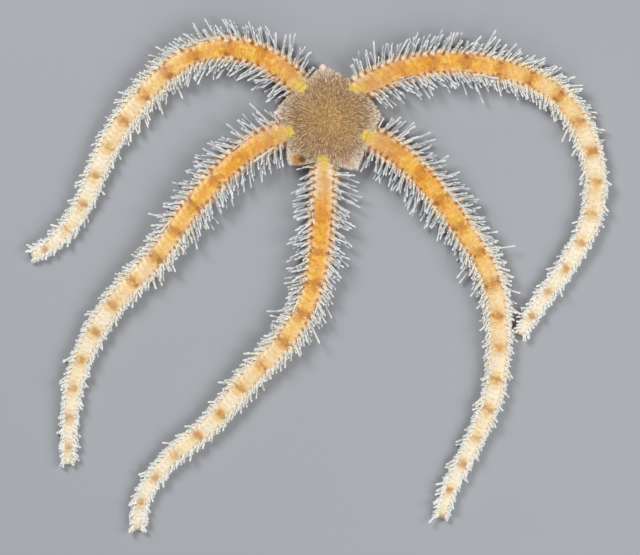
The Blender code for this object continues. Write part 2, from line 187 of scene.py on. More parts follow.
def addPiece(name, points, faces, material, replaced, values=None, bakeMap=None):
    # points in mm; faces a list of index arrays, of quads and of triangles
    # All faces are turned round where the volume, a sum over them, is negative
    points = np.asarray(points, float) * mm
    volume = 0.0
    for block in faces:
        a, b, c = (points[block[:, i]] for i in (0, 1, 2))
        volume += np.einsum("ij,ij->", a, np.cross(b, c))
        if block.shape[1] == 4:
            volume += np.einsum("ij,ij->", a, np.cross(c, points[block[:, 3]]))
    if volume < 0:
        faces = [block[:, ::-1] for block in faces]
    loops = np.concatenate([block.ravel() for block in faces]).astype(np.int32)
    sizes = np.concatenate([np.full(len(block), block.shape[1]) for block in faces])
    mesh = bpy.data.meshes.new(name)
    mesh.vertices.add(len(points))
    mesh.vertices.foreach_set("co", points.ravel())
    mesh.loops.add(len(loops))
    mesh.loops.foreach_set("vertex_index", loops)
    mesh.polygons.add(len(sizes))
    mesh.polygons.foreach_set("loop_start", np.concatenate([[0], np.cumsum(sizes)[:-1]]).astype(np.int32))
    mesh.update(calc_edges=True)
    mesh.validate()
    mesh.shade_smooth()
    for key, value in (values or {}).items():
        layer = mesh.attributes.new(key, "FLOAT", "POINT")
        layer.data.foreach_set("value", np.asarray(value, np.float32).ravel())
    if bakeMap is not None:
        layer = mesh.uv_layers.new(name="OFBake")
        layer.data.foreach_set("uv", np.asarray(bakeMap, np.float32)[loops].ravel())
    mesh.materials.append(material)
    piece = bpy.data.objects.new(name, mesh)
    bpy.context.scene.collection.objects.link(piece)
    if replaced:
        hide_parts(*replaced)
    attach(piece, "root")
    print("piece", name, "triangles", int((sizes - 2).sum()))


def ringFaces(rows, sides):
    # Quads between neighbouring rings, and a fan at each end to a pole that follows the last ring
    row, side = np.meshgrid(np.arange(rows - 1), np.arange(sides), indexing="ij")
    here, after = row * sides + side, row * sides + (side + 1) % sides
    quads = np.stack([here, after, after + sides, here + sides], -1).reshape(-1, 4)
    side = np.arange(sides)
    last = (rows - 1) * sides
    first = np.stack([np.full(sides, rows * sides), (side + 1) % sides, side], -1)
    end = np.stack([np.full(sides, rows * sides + 1), last + side, last + (side + 1) % sides], -1)
    return [quads, np.concatenate([first, end])]


def onGrid(values, shape):
    # One value for each point of a grid, and for the two poles that close it
    grid = np.broadcast_to(values, shape)
    return np.concatenate([grid.ravel(), [grid[0, 0], grid[-1, 0]]])


def copies(faces, count, size):
    # The same faces for each of count shapes of size points
    shift = (np.arange(count) * size)[:, None, None]
    return [(block[None] + shift).reshape(-1, block.shape[1]) for block in faces]


def unit(vectors):
    # Each vector over its own length
    return vectors / np.linalg.norm(vectors, axis=-1, keepdims=True)


def rods(roots, ways, lengths, bends, radii, profile, sides):
    # Bent rods: point = root + length (u way + u^2 bend), ringed at the radius times the profile's share
    shares, widths = np.array(profile).T
    wayAcross = unit(np.cross(ways, up + 0 * ways))
    wayUp = np.cross(wayAcross, ways)
    bent = shares[:, None] * ways[:, None] + shares[:, None] ** 2 * bends[:, None]
    axis = roots[:, None] + lengths[:, None, None] * bent
    turn = np.linspace(0, 2 * math.pi, sides, endpoint=False)
    ring = np.cos(turn)[:, None] * wayAcross[:, None] + np.sin(turn)[:, None] * wayUp[:, None]
    rings = axis[:, :, None] + (radii[:, None] * widths)[:, :, None, None] * ring[:, None]
    ends = np.stack([axis[:, 0], axis[:, -1]], 1)
    count, rows = len(roots), len(shares)
    points = np.concatenate([rings.reshape(count, -1, 3), ends], 1)
    faces = copies(ringFaces(rows, sides), count, points.shape[1])
    onward = np.concatenate([np.repeat(shares, sides), [0.0, 1.0]])
    roundabout = np.concatenate([np.tile(np.arange(sides) / sides, rows), [0.5, 0.5]])
    return points, faces, onward, roundabout


def rodMap(u, v, onward, roundabout):
    # A small patch of the map for each rod, round its own place on it
    patch = 0.003
    mapU = u[:, None] + patch * (roundabout - 0.5)
    mapV = v[:, None] + patch * (onward - 0.5)
    return np.stack([mapU.ravel(), mapV.ravel()], -1)


def pebbles(centres, onward, sizes, rows, sides, power=1.0):
    # Ellipsoids: a ring at each latitude, its width the cosine to a power, turned to the heading of onward
    latitude = np.linspace(-90, 90, rows + 2)[1:-1] * math.pi / 180
    turn = np.linspace(0, 2 * math.pi, sides, endpoint=False)[:, None, None]
    onward = unit(onward)
    left = unit(np.cross(up + 0 * onward, onward))
    top = np.cross(onward, left)
    flat = np.cos(turn) * onward * sizes[:, :1] + np.sin(turn) * left * sizes[:, 1:2]
    wide = np.cos(latitude)[:, None, None, None] ** power
    tall = np.sin(latitude)[:, None, None, None] * (top * sizes[:, 2:])
    rings = (wide * flat + tall).transpose(2, 0, 1, 3) + centres[:, None, None]
    ends = np.stack([centres - top * sizes[:, 2:], centres + top * sizes[:, 2:]], 1)
    points = np.concatenate([rings.reshape(len(centres), -1, 3), ends], 1)
    return points, copies(ringFaces(rows, sides), len(centres), points.shape[1])


def joined(shapes):
    # Several (points, faces) pairs as one
    points, quads, triangles, start = [], [], [], 0
    for shapePoints, shapeFaces in shapes:
        shapePoints = shapePoints.reshape(-1, 3)
        points.append(shapePoints)
        quads.append(shapeFaces[0] + start)
        triangles.append(shapeFaces[1] + start)
        start += len(shapePoints)
    return np.concatenate(points), [np.concatenate(quads), np.concatenate(triangles)]


def put(tree, kind, wires=None, **settings):
    # A node with its settings; wires maps each input's name or number to a socket or to a plain value
    node = tree.nodes.new(kind)
    node.location = (180 * len(tree.nodes), -40 * (len(tree.nodes) % 7))
    for key, value in settings.items():
        setattr(node, key, value)
    for key, value in (wires or {}).items():
        if isinstance(value, bpy.types.NodeSocket):
            tree.links.new(value, node.inputs[key])
        else:
            node.inputs[key].default_value = value
    return node


def sums(tree, operation, a, b=0.0, clamp=False):
    return put(tree, "ShaderNodeMath", {0: a, 1: b}, operation=operation, use_clamp=clamp).outputs[0]


def times(tree, first, *others):
    for other in others:
        first = sums(tree, "MULTIPLY", first, other)
    return first


def ease(tree, value, low, high, least=0.0, most=1.0):
    # A smooth step from least, where the value is low, to most, where it is high
    wires = {"Value": value, "From Min": low, "From Max": high, "To Min": least, "To Max": most}
    return put(tree, "ShaderNodeMapRange", wires, interpolation_type="SMOOTHSTEP").outputs[0]


def blend(tree, share, a, b, how="MIX"):
    # From colour a to colour b by share
    colours = [c if isinstance(c, bpy.types.NodeSocket) else (*c, 1.0) for c in (a, b)]
    wires = {0: share, 6: colours[0], 7: colours[1]}
    return put(tree, "ShaderNodeMix", wires, data_type="RGBA", blend_type=how).outputs[2]


def shade(tree, share, colour, factor):
    # The colour times a grey factor, by share
    return blend(tree, share, colour, (factor, factor, factor), "MULTIPLY")


def ramp(tree, value, stops):
    node = put(tree, "ShaderNodeValToRGB", {0: value})
    elements = node.color_ramp.elements
    while len(elements) < len(stops):
        elements.new(0.5)
    for element, (place, colour) in zip(elements, stops):
        element.position = place
        element.color = (*colour, 1.0)
    return node.outputs[0]


def read(tree, name):
    return put(tree, "ShaderNodeAttribute", attribute_name=name).outputs["Fac"]


def newMaterial(name, **shader):
    made = bpy.data.materials.new(name)
    made.use_nodes = True
    principled = made.node_tree.nodes["Principled BSDF"]
    for key, value in shader.items():
        principled.inputs[key.replace("_", " ")].default_value = value
    return made, made.node_tree, principled


def newGroup(name, inputs, outputs):
    group = bpy.data.node_groups.new(name, "ShaderNodeTree")
    for label, value in inputs.items():
        socket = group.interface.new_socket(name=label, in_out="INPUT", socket_type="NodeSocketFloat")
        socket.default_value = value
    for label in outputs:
        group.interface.new_socket(name=label, in_out="OUTPUT", socket_type="NodeSocketFloat")
    return group, put(group, "NodeGroupInput").outputs, put(group, "NodeGroupOutput").inputs


def calciteGrainGroup():
    # Fine stony grain: cloudy tone, pale specks, and a height for bump
    inputs = {"Scale": 900.0, "Contrast": 0.5}
    group, given, result = newGroup("calciteGrain", inputs, ("Tone", "Speck", "Height"))
    place = put(group, "ShaderNodeTexCoord").outputs["Object"]
    wires = {"Vector": place, "Scale": given["Scale"], "Detail": 3.0, "Roughness": 0.6}
    cloud = put(group, "ShaderNodeTexNoise", wires).outputs["Fac"]
    wires = {"Vector": place, "Scale": times(group, given["Scale"], 3.7)}
    cells = put(group, "ShaderNodeTexVoronoi", wires, feature="F1").outputs["Distance"]
    centred = sums(group, "SUBTRACT", cloud, 0.5)
    tone = sums(group, "ADD", times(group, centred, given["Contrast"]), 0.5, clamp=True)
    group.links.new(tone, result["Tone"])
    group.links.new(ease(group, cells, 0.32, 0.12), result["Speck"])
    group.links.new(sums(group, "ADD", cloud, times(group, cells, -0.5)), result["Height"])
    return group


def repeatedMarkGroup():
    # An ellipse round each whole number of a phase, and a tone at random for each of them
    inputs = {"Phase": 0.0, "Offset": 0.0, "Side": 0.0, "Place": 0.0, "Length": 0.2, "Width": 0.3,
              "Wobble": 0.0, "Softness": 0.4}
    group, given, result = newGroup("repeatedMark", inputs, ("Mask", "Chance"))
    moved = sums(group, "ADD", given["Phase"], given["Offset"])
    whole = sums(group, "ROUND", moved)
    longShare = sums(group, "DIVIDE", sums(group, "SUBTRACT", moved, whole), given["Length"])
    wideShare = sums(group, "DIVIDE", sums(group, "SUBTRACT", given["Side"], given["Place"]), given["Width"])
    squares = sums(group, "ADD", times(group, longShare, longShare), times(group, wideShare, wideShare))
    reach = sums(group, "ADD", sums(group, "SQRT", squares), given["Wobble"])
    low = sums(group, "ADD", 1.0, given["Softness"])
    high = sums(group, "SUBTRACT", 1.0, given["Softness"])
    group.links.new(ease(group, reach, low, high), result["Mask"])
    chance = put(group, "ShaderNodeTexWhiteNoise", {"W": whole}, noise_dimensions="1D").outputs["Value"]
    group.links.new(chance, result["Chance"])
    return group


def useGroup(tree, group, **wires):
    return put(tree, "ShaderNodeGroup", wires, node_tree=group).outputs


def noise(tree, scale, detail=2.0, vector=None):
    # Cloudy values round 0.5
    wires = {"Scale": scale, "Detail": detail}
    if vector is not None:
        wires["Vector"] = vector
    return put(tree, "ShaderNodeTexNoise", wires).outputs["Fac"]


def pair(tree, x, y):
    # Two values as a vector
    return put(tree, "ShaderNodeCombineXYZ", {0: x, 1: y}).outputs[0]


def addBump(tree, principled, height, strength, distance):
    wires = {"Height": height, "Strength": strength, "Distance": distance * mm}
    tree.links.new(put(tree, "ShaderNodeBump", wires).outputs[0], principled.inputs["Normal"])


armSkin = {
    "pitch": (1.15, 0.7),  # mm from segment to segment, at the root and at the tip
    "spotGap": (5.35, 4.45),  # mm from blotch to blotch
    # mm from the disc's middle: where one blotch of each arm stands, and out to where its back is pale
    "spotAt": {"arm_1": 41.0, "arm_2": 41.2, "arm_3": 41.5, "arm_4": 43.0, "arm_5": 40.4},
    "paleTo": {"arm_1": 9.0, "arm_2": 9.0, "arm_3": 15.0, "arm_4": 9.5, "arm_5": 8.5},
    "ringsPerSegment": 12,
    "sides": 48,
    "dorsalRelief": 0.09,  # mm that a plate of the back stands over the next
    "lateralRelief": 0.33,  # mm that a side plate bulges
    "ventralRelief": 0.07,
    "seamDepth": 0.07,  # mm that the seam beside the back's plates is sunk
    "reliefFall": 0.45,  # share of all relief that is lost at the tip
    "sectionPowers": (0.92, 0.66),  # of the section over and under its middle
    "sectionShares": (0.58, 0.42),  # of the height that lie over and under its middle
    # shares of the steps from the back round to the belly, and the degrees there: closest over the back
    "ringSteps": ((0, 0.34, 0.6, 0.8, 1), (0, 56, 132, 164, 180)),
    "tipRounding": 0.55,  # mm
    "dorsalHalf": 50.0,  # degrees from the midline of the back to the side plates
    "bow": 0.42,  # share of a segment by which the back's plates bow towards the tip
    "underside": 0.03,  # mm off the floor
    "colours": {
        "back": [(0.0, (0.68, 0.42, 0.15)), (0.05, (0.75, 0.37, 0.08)), (0.14, (0.90, 0.40, 0.022)),
                 (0.32, (0.92, 0.48, 0.055)), (0.43, (0.94, 0.57, 0.16)), (0.57, (0.95, 0.65, 0.27)),
                 (0.76, (0.95, 0.73, 0.38)), (1.0, (0.96, 0.79, 0.50))],
        "gold": (0.94, 0.60, 0.07),
        "shield": (0.80, 0.54, 0.07),
        "pale": ((0.84, 0.48, 0.16), (0.90, 0.64, 0.34)),
        "deepBack": [(0.0, (0.70, 0.34, 0.10)), (0.13, (0.72, 0.22, 0.015)), (0.4, (0.76, 0.32, 0.05)),
                     (0.7, (0.90, 0.62, 0.28)), (1.0, (0.93, 0.72, 0.42))],
        "blotch": [(0.0, (0.66, 0.27, 0.05)), (0.15, (0.56, 0.16, 0.010)), (0.3, (0.54, 0.17, 0.011)),
                   (0.45, (0.60, 0.24, 0.030)), (0.65, (0.64, 0.32, 0.085)), (1.0, (0.66, 0.38, 0.16))],
        "gap": [(0.35, (0.97, 0.82, 0.54)), (0.7, (0.97, 0.92, 0.79))],
        "peach": [(0.0, (0.82, 0.53, 0.31)), (0.15, (0.88, 0.52, 0.27)), (0.5, (0.93, 0.72, 0.46)),
                  (1.0, (0.95, 0.86, 0.70))],
        "margin": [(0.0, (0.90, 0.78, 0.60)), (0.15, (0.95, 0.84, 0.64)), (0.5, (0.96, 0.89, 0.72)),
                   (1.0, (0.98, 0.95, 0.87))],
        "marginSpeck": (0.97, 0.94, 0.87),
        "core": (0.42, 0.14, 0.02),
        "dot": (0.32, 0.10, 0.015),
        "belly": (0.58, 0.41, 0.20),
        "bellyPale": (0.74, 0.60, 0.38),
        "bellyStrip": (0.72, 0.65, 0.50),
        "bellyLine": (0.46, 0.25, 0.09),
        "bellySeam": (0.40, 0.34, 0.24),
        "nearMouth": (0.70, 0.66, 0.59),
    },
}


def sectionPlace(turn, half, height):
    # Superellipse fuller below: across = half |sin|^p, up = middle + reach |cos|^p, p smaller under the middle
    sine, cosine = np.sin(turn), np.cos(turn)
    under = cosine < 0
    powerAbove, powerUnder = armSkin["sectionPowers"]
    shareAbove, shareUnder = armSkin["sectionShares"]
    power = np.where(under, powerUnder, powerAbove)
    across = half * np.sign(sine) * np.abs(sine) ** power
    lift = np.where(under, shareUnder, shareAbove) * height * np.sign(cosine) * np.abs(cosine) ** power
    return across, shareUnder * height + lift


def plateRelief(segment, plate, degrees, share):
    # Back: shingles with convex far edges. Sides: a ridge per segment, steep on its far side. Belly: sunk seams
    shrink = 1 - armSkin["reliefFall"] * share
    border = armSkin["dorsalHalf"]
    back = smooth(border + 6, border - 6, degrees)
    bowed = np.mod(plate, 1.0)
    shingle = bowed**0.8 * smooth(1.0, 0.76, bowed) * np.cos(np.radians(np.minimum(degrees, 60)))
    side = smooth(border - 4, border + 14, degrees) * smooth(150, 118, degrees)
    rise = np.mod(segment + 0.22, 1.0)
    knob = rise**1.2 * smooth(1.0, 0.74, rise) * 1.35
    seam = smooth(border + 9, border, degrees) * smooth(border - 9, border, degrees)
    belly = smooth(140, 160, degrees)
    joint = np.abs(np.mod(segment + 0.5, 1.0) - 0.5)
    groove = smooth(0.13, 0.04, joint)
    relief = armSkin["dorsalRelief"] * back * shingle + armSkin["lateralRelief"] * side * knob
    relief = relief - armSkin["seamDepth"] * seam
    return shrink * relief, shrink * armSkin["ventralRelief"] * belly * groove


def buildArmSkin(line, material):
    # Grid of distance along by angle round: each ring is the section, moved out along its angle by the relief
    length, start = line["length"], body["rootStations"][0]
    firstSegment, lastSegment = along(line, "segment", start), along(line, "segment", length)
    rows = int((lastSegment - firstSegment) * armSkin["ringsPerSegment"])
    segment = np.linspace(firstSegment, lastSegment, rows)
    s = np.interp(segment, line["segment"], line["steps"])
    fromTip = length - s
    rounding = np.sqrt(np.clip(1 - (1 - np.clip(fromTip / armSkin["tipRounding"], 0, 1)) ** 2, 0.02, 1))
    rounding = rounding * (0.8 + 0.2 * smooth(0, 1.6, fromTip))
    half, height = armSize(line, s)
    half, height = half * rounding, height * (0.35 + 0.65 * rounding)
    oneSide = np.interp(np.linspace(0, 1, armSkin["sides"] // 2 + 1), *armSkin["ringSteps"])
    degrees = np.concatenate([oneSide, -oneSide[-2:0:-1]])
    turn = np.radians(degrees)[None]
    degrees = np.abs(degrees)[None]
    across, upward = sectionPlace(turn, half[:, None], height[:, None])
    share = along(line, "share", s)[:, None]
    plate = segment[:, None] - armSkin["bow"] * (1 - (np.minimum(degrees, 60) / armSkin["dorsalHalf"]) ** 2)
    out, sunk = plateRelief(segment[:, None], plate, degrees, share)
    out = out * np.minimum(rounding, 1)[:, None] * smooth(start, 6.0, s)[:, None]
    across = across + out * np.sin(turn)
    upward = np.maximum(upward + out * np.cos(turn) + sunk, armSkin["underside"])
    rings = armPoint(line, s[:, None], across, upward)
    points = np.concatenate([rings.reshape(-1, 3), rings[[0, -1]].mean(1)])
    values = {
        "segment": segment[:, None],
        "plate": plate,
        "spot": along(line, "spot", s)[:, None],
        "share": share,
        "turn": degrees / 180,
        "across": across / np.maximum(half, 0.2)[:, None],
        "pale": smooth(1.0, 0.55, s / armSkin["paleTo"][line["name"]])[:, None],
    }
    values = {key: onGrid(value, across.shape) for key, value in values.items()}
    nodes = [f"{line['name']}_{part}" for part in ("root", "near", "middle", "far", "tip")]
    faces = ringFaces(rows, armSkin["sides"])
    addPiece(f"{line['name']}_skin", points, faces, material, nodes, values)


def armSkinMaterial(grain, mark):
    # Orange back with blotches, cream side plates with brown dots between them, pale belly with a plated strip
    colours = armSkin["colours"]
    made, tree, principled = newMaterial("plated arm skin", Roughness=0.42, Coat_Weight=0.2, Coat_Roughness=0.3)
    segment, plate, spot = read(tree, "segment"), read(tree, "plate"), read(tree, "spot")
    share, turn, flank = read(tree, "share"), read(tree, "turn"), read(tree, "across")
    across = sums(tree, "ABSOLUTE", flank)
    broad = useGroup(tree, grain, Scale=550.0, Contrast=2.0)
    coarse = useGroup(tree, grain, Scale=1100.0, Contrast=1.8)
    fine = useGroup(tree, grain, Scale=2600.0, Contrast=1.4)
    wobble = times(tree, sums(tree, "SUBTRACT", coarse["Tone"], 0.5), 1.5)
    bigWobble = sums(tree, "ADD", wobble, times(tree, sums(tree, "SUBTRACT", broad["Tone"], 0.5), 0.9))
    fibre = noise(tree, 1.0, 3.0, pair(tree, times(tree, segment, 0.3), times(tree, flank, 5.0)))
    band = noise(tree, 1.0, 2.0, pair(tree, times(tree, plate, 1.1), times(tree, flank, 2.3)))

    # back: colour by share of the arm, gold in clouds, darker bands across, pale and dark fibres lengthways
    back = ramp(tree, share, colours["back"])
    deepBack, peach = ramp(tree, share, colours["deepBack"]), ramp(tree, share, colours["peach"])
    goldShare = times(tree, ease(tree, broad["Tone"], 0.45, 0.75), ease(tree, share, 0.5, 0.3), 0.65)
    back = blend(tree, goldShare, back, colours["gold"])
    back = blend(tree, times(tree, ease(tree, band, 0.48, 0.68), 0.7), back, deepBack)
    darkCloud = times(tree, ease(tree, coarse["Tone"], 0.5, 0.2), ease(tree, share, 0.0, 0.15), 0.4)
    back = blend(tree, darkCloud, back, deepBack)
    darkFibre = times(tree, ease(tree, fibre, 0.45, 0.3), ease(tree, share, 0.5, 0.2), 0.6)
    back = blend(tree, darkFibre, back, deepBack)
    paleFibre = times(tree, ease(tree, fibre, 0.56, 0.7), ease(tree, share, 0.5, 0.2, 0.2, 0.7))
    back = blend(tree, paleFibre, back, peach)
    paleEdge = sums(tree, "ADD", read(tree, "pale"), times(tree, wobble, 0.4))
    paleShare = ease(tree, paleEdge, 0.15, 0.7, 0.0, 0.75)
    back = blend(tree, paleShare, back, blend(tree, ease(tree, fibre, 0.4, 0.6), *colours["pale"]))
    yellowShare = times(tree, ease(tree, share, 0.034, 0.004), ease(tree, across, 0.62, 0.15),
                        ease(tree, coarse["Tone"], 0.0, 0.6))
    back = blend(tree, yellowShare, back, colours["shield"])

    # blotches: wide over the orange part, smaller on the cream part, where the gaps between them turn pale
    width = ease(tree, share, 0.2, 0.7, 0.68, 0.6)
    blotch = useGroup(tree, mark, Phase=spot, Side=across, Length=0.18, Width=width, Wobble=bigWobble,
                      Softness=ease(tree, share, 0.3, 0.6, 0.65, 0.9))
    strength = times(tree, ease(tree, blotch["Chance"], 0.0, 1.0, 0.65, 1.0),
                     ease(tree, fine["Tone"], 0.1, 0.6, 0.7, 1.0))
    blotchShare = times(tree, blotch["Mask"], ease(tree, share, 0.05, 0.3, 0.35, 1.0),
                        ease(tree, share, 0.4, 0.7, 1.0, 0.72))
    back = blend(tree, times(tree, blotchShare, strength), back, ramp(tree, share, colours["blotch"]))
    core = useGroup(tree, mark, Phase=spot, Offset=0.02, Side=flank, Place=0.08, Length=0.085, Width=0.36,
                    Wobble=bigWobble, Softness=0.6)["Mask"]
    coreShare = times(tree, core, strength, ease(tree, share, 0.1, 0.4, 0.0, 0.5))
    back = blend(tree, coreShare, back, colours["core"])
    rim = useGroup(tree, mark, Phase=spot, Side=across, Place=0.5, Length=0.08, Width=0.17,
                   Wobble=bigWobble)["Mask"]
    rimShare = times(tree, rim, ease(tree, share, 0.1, 0.25), ease(tree, share, 0.65, 0.4, 0.3, 0.7))
    back = blend(tree, rimShare, back, colours["dot"])
    gap = useGroup(tree, mark, Phase=spot, Offset=0.5, Length=0.26, Width=1.0, Wobble=wobble, Softness=0.6)
    gapShare = times(tree, gap["Mask"], ease(tree, share, 0.12, 0.65),
                     ease(tree, gap["Chance"], 0.0, 1.0, 0.3, 0.65))
    back = blend(tree, gapShare, back, ramp(tree, share, colours["gap"]))

    # plates of the back: each at its own tone, with a darker seam and a paler far edge
    plateTone = useGroup(tree, mark, Phase=plate, Offset=0.5)["Chance"]
    back = shade(tree, times(tree, plateTone, 0.5), back, 0.86)
    seam = useGroup(tree, mark, Phase=plate, Length=0.12, Width=1.0, Softness=0.8)["Mask"]
    back = shade(tree, times(tree, seam, ease(tree, coarse["Tone"], 0.3, 0.7)), back, 0.86)
    lip = useGroup(tree, mark, Phase=plate, Offset=0.24, Length=0.14, Width=1.0, Softness=0.7)["Mask"]
    back = blend(tree, times(tree, lip, ease(tree, coarse["Tone"], 0.45, 0.75), 0.25), back, peach)

    # sides: peach and cream lumps with a brown dot between each two, and painted shade in the crease between two
    # lumps
    edge = sums(tree, "ADD", across, times(tree, bigWobble, 0.2))
    edge = sums(tree, "ADD", edge, times(tree, read(tree, "pale"), 0.22))
    creamShare = times(tree, ease(tree, coarse["Tone"], 0.3, 0.65), ease(tree, edge, 0.5, 0.9, 0.4, 1.0))
    margin = blend(tree, creamShare, peach, ramp(tree, share, colours["margin"]))
    margin = blend(tree, times(tree, fine["Speck"], 0.5), margin, colours["marginSpeck"])
    # painted shade: the crease at the far side of each side plate is darkened towards the deep orange
    creaseShade = useGroup(tree, mark, Phase=segment, Offset=0.22, Length=0.14, Width=1.0, Softness=0.7)["Mask"]
    margin = blend(tree, times(tree, creaseShade, 0.5), margin, deepBack)
    skin = blend(tree, ease(tree, edge, 0.9, 0.42), margin, back)
    dot = useGroup(tree, mark, Phase=segment, Offset=0.22, Side=across, Place=0.76, Length=0.27, Width=0.19,
                   Wobble=times(tree, wobble, 0.8), Softness=0.5)
    above = ease(tree, turn, 0.6, 0.5)
    dotShare = times(tree, dot["Mask"], ease(tree, share, 0.3, 0.6, 0.95, 0.2),
                     ease(tree, dot["Chance"], 0, 1, 0.45, 1), above)
    skin = blend(tree, dotShare, skin, colours["dot"])

    belly = bellyPaint(tree, mark, segment, share, across, coarse)
    skin = blend(tree, ease(tree, turn, 0.62, 0.72), skin, belly)
    skin = shade(tree, ease(tree, fine["Tone"], 0.6, 0.2), skin, 0.84)
    tree.links.new(skin, principled.inputs["Base Color"])
    tree.links.new(ease(tree, fine["Tone"], 0.2, 0.8, 0.34, 0.55), principled.inputs["Roughness"])
    addBump(tree, principled, sums(tree, "ADD", coarse["Height"], times(tree, fine["Height"], 0.6)), 0.5, 0.07)
    return made


def bellyPaint(tree, mark, segment, share, across, coarse):
    # Slanting pale stripes, a dark line to each side, and a paler strip of plates along the middle
    colours = armSkin["colours"]
    belly = blend(tree, ease(tree, share, 0.16, 0.0), colours["belly"], colours["nearMouth"])
    slant = sums(tree, "ADD", segment, times(tree, across, -0.9))
    stripe = useGroup(tree, mark, Phase=slant, Side=across, Place=0.6, Length=0.2, Width=0.4,
                      Softness=0.5)["Mask"]
    belly = blend(tree, times(tree, stripe, ease(tree, coarse["Tone"], 0.2, 0.7)), belly, colours["bellyPale"])
    lineMask = useGroup(tree, mark, Phase=0.0, Side=across, Place=0.31, Length=1.0, Width=0.055,
                        Softness=0.5)["Mask"]
    lineShare = times(tree, lineMask, ease(tree, share, 0.02, 0.12, 0.1, 0.7),
                      ease(tree, coarse["Tone"], 0.1, 0.6))
    belly = blend(tree, lineShare, belly, colours["bellyLine"])
    belly = blend(tree, ease(tree, across, 0.28, 0.23), belly, colours["bellyStrip"])
    seam = useGroup(tree, mark, Phase=segment, Side=across, Length=0.1, Width=0.28, Softness=0.4)["Mask"]
    belly = blend(tree, times(tree, seam, 0.55), belly, colours["bellySeam"])
    return blend(tree, ease(tree, share, 0.05, 0.0), belly, colours["nearMouth"])


spines = {
    "seed": 5,
    "length": 4.4,  # mm, at the arm's root
    "shorten": (0.785, 0.03, 0.64),  # share lost, between these shares of the arm
    # per rank, low to high: degrees from the back's midline where it roots, degrees that it rises, and its
    # share of the length
    "ranks": ((128, -8, 0.45), (115, 0, 0.75), (103, 7, 0.92), (91, 15, 1.0), (80, 24, 1.0), (70, 30, 0.85),
              (62, 28, 0.66), (54, 22, 0.5)),
    # ranks halfway between two fans; over these shares of the arm they go from none to all
    "between": ((118, -2, 0.6), (98, 10, 0.78), (82, 22, 0.74), (68, 28, 0.6)),
    "betweenFrom": (0.12, 0.42),
    "spread": (0.7, 0.6),  # share of the length that a spine may lack, and a power: under 1 most are short
    "fullest": 1.1,  # share of its rank's length that the longest has
    "long": (0.16, 1.1),  # in the outer part: share of the spines that are longer, and by how much
    "longFrom": (0.1, 0.6),  # over these shares of the arm
    # a few that lie along the back: how many of those rooted within so many degrees and beyond so many mm, the
    # degrees that they lean and rise, and their share of the length
    "lying": {"chance": 0.03, "place": 65, "from": 9, "sweep": (78, 98), "rise": 10, "length": 0.9},
    "reach": (6.4, 0.25),  # mm from the disc's middle to the first fan, and from the last one to the tip
    "stand": (0.55, 0.16),  # phase in its segment at which a fan stands, and how far a spine may be off it
    "inset": (0.94, 0.96),  # shares of the skin's half width and height at which they root
    "climb": 8,  # degrees by which the ranks close over the back at the tip
    "rootSway": 6,  # degrees that a root may be off its rank
    "bend": (0.035, 0.03),  # shares of the length: at random, and towards the tip
    "sway": (6.0, 8.0),  # degrees at random: of a whole fan, and of a spine in it
    "sweep": ((8, 8), (13, 28), (32, 34), (52, 46)),  # at these mm, degrees that they lean towards the tip
    "tipSweep": 55.0,
    "tipReach": (2.6, 0.2),  # mm before the tip over which they come to lean that far
    "radius": 0.148,
    "radiusSpread": (0.85, 1.15),
    "swell": 0.35,  # share by which they are thicker at the arm's tip
    "profile": ((0.0, 1.35), (0.05, 1.75), (0.12, 1.65), (0.22, 1.35), (0.36, 1.05), (0.55, 0.96), (0.75, 0.88),
                (0.93, 1.02), (1.0, 0.62)),
    "sides": 5,
    "cuts": (1.0, 0.86, 0.72, 0.58, 0.45),  # shares of its length that a spine is tried at to fit
    "highPlaces": (88, 58),  # degrees from the back's midline over which roots take on its colour
    "clear": 0.12,  # mm kept off the floor and other things
    # mm more kept off the disc, the box's sides, its top and other arms, whose half width is taken as wider
    "gaps": {"disc": 0.1, "sides": 0.2, "top": 0.17, "arms": 0.15, "wider": 1.08},
    "colours": {
        "shaft": ((0.44, 0.46, 0.48), (0.86, 0.88, 0.89)),
        "farShaft": (0.97, 0.93, 0.83),
        "tip": (0.97, 0.98, 0.98),
        "root": [(0.0, (0.88, 0.72, 0.54)), (0.4, (0.95, 0.83, 0.60)), (0.7, (0.97, 0.91, 0.74)),
                 (1.0, (0.98, 0.95, 0.87))],
        "highRoot": [(0.0, (0.87, 0.58, 0.32)), (0.15, (0.94, 0.66, 0.37)), (0.45, (0.96, 0.77, 0.50)),
                     (0.7, (0.95, 0.80, 0.54)), (1.0, (0.97, 0.89, 0.73))],
    },
}


def spineLength(share):
    # The root's length less a share of it that grows by a smooth step
    lost, start, end = spines["shorten"]
    return spines["length"] * (1 - lost * smooth(start, end, share))


def spineFits(points, line, lines):
    # True where every sample but those at the root keeps off the floor, disc, other arms and the box's sides
    clear, gaps = spines["clear"], spines["gaps"]
    outer = points[:, 2:]
    fits = np.all(outer[..., 2] > clear, 1)
    away = outer[..., :2] - body["discCentre"]
    heading, reach = np.arctan2(away[..., 1], away[..., 0]), np.hypot(away[..., 0], away[..., 1])
    fits &= np.all(reach > discEdge(heading) + clear + gaps["disc"], 1)
    low, high = (np.array(corner) / mm for corner in cadBox)
    inside = (points > low + gaps["sides"]) & (points < high - gaps["sides"]) | (np.arange(3) == 2)
    fits &= np.all(inside, (1, 2)) & np.all(points[..., 2] < high[2] - gaps["top"], 1)
    for other in lines:
        if other is line:
            continue
        step = slice(0, None, 12)
        apart = np.hypot(outer[..., 0, None] - other["x"][step], outer[..., 1, None] - other["y"][step])
        keep = armSize(other, other["steps"][step])[0] * gaps["wider"] + clear + gaps["arms"]
        fits &= np.all(apart > keep, (1, 2))
    return fits


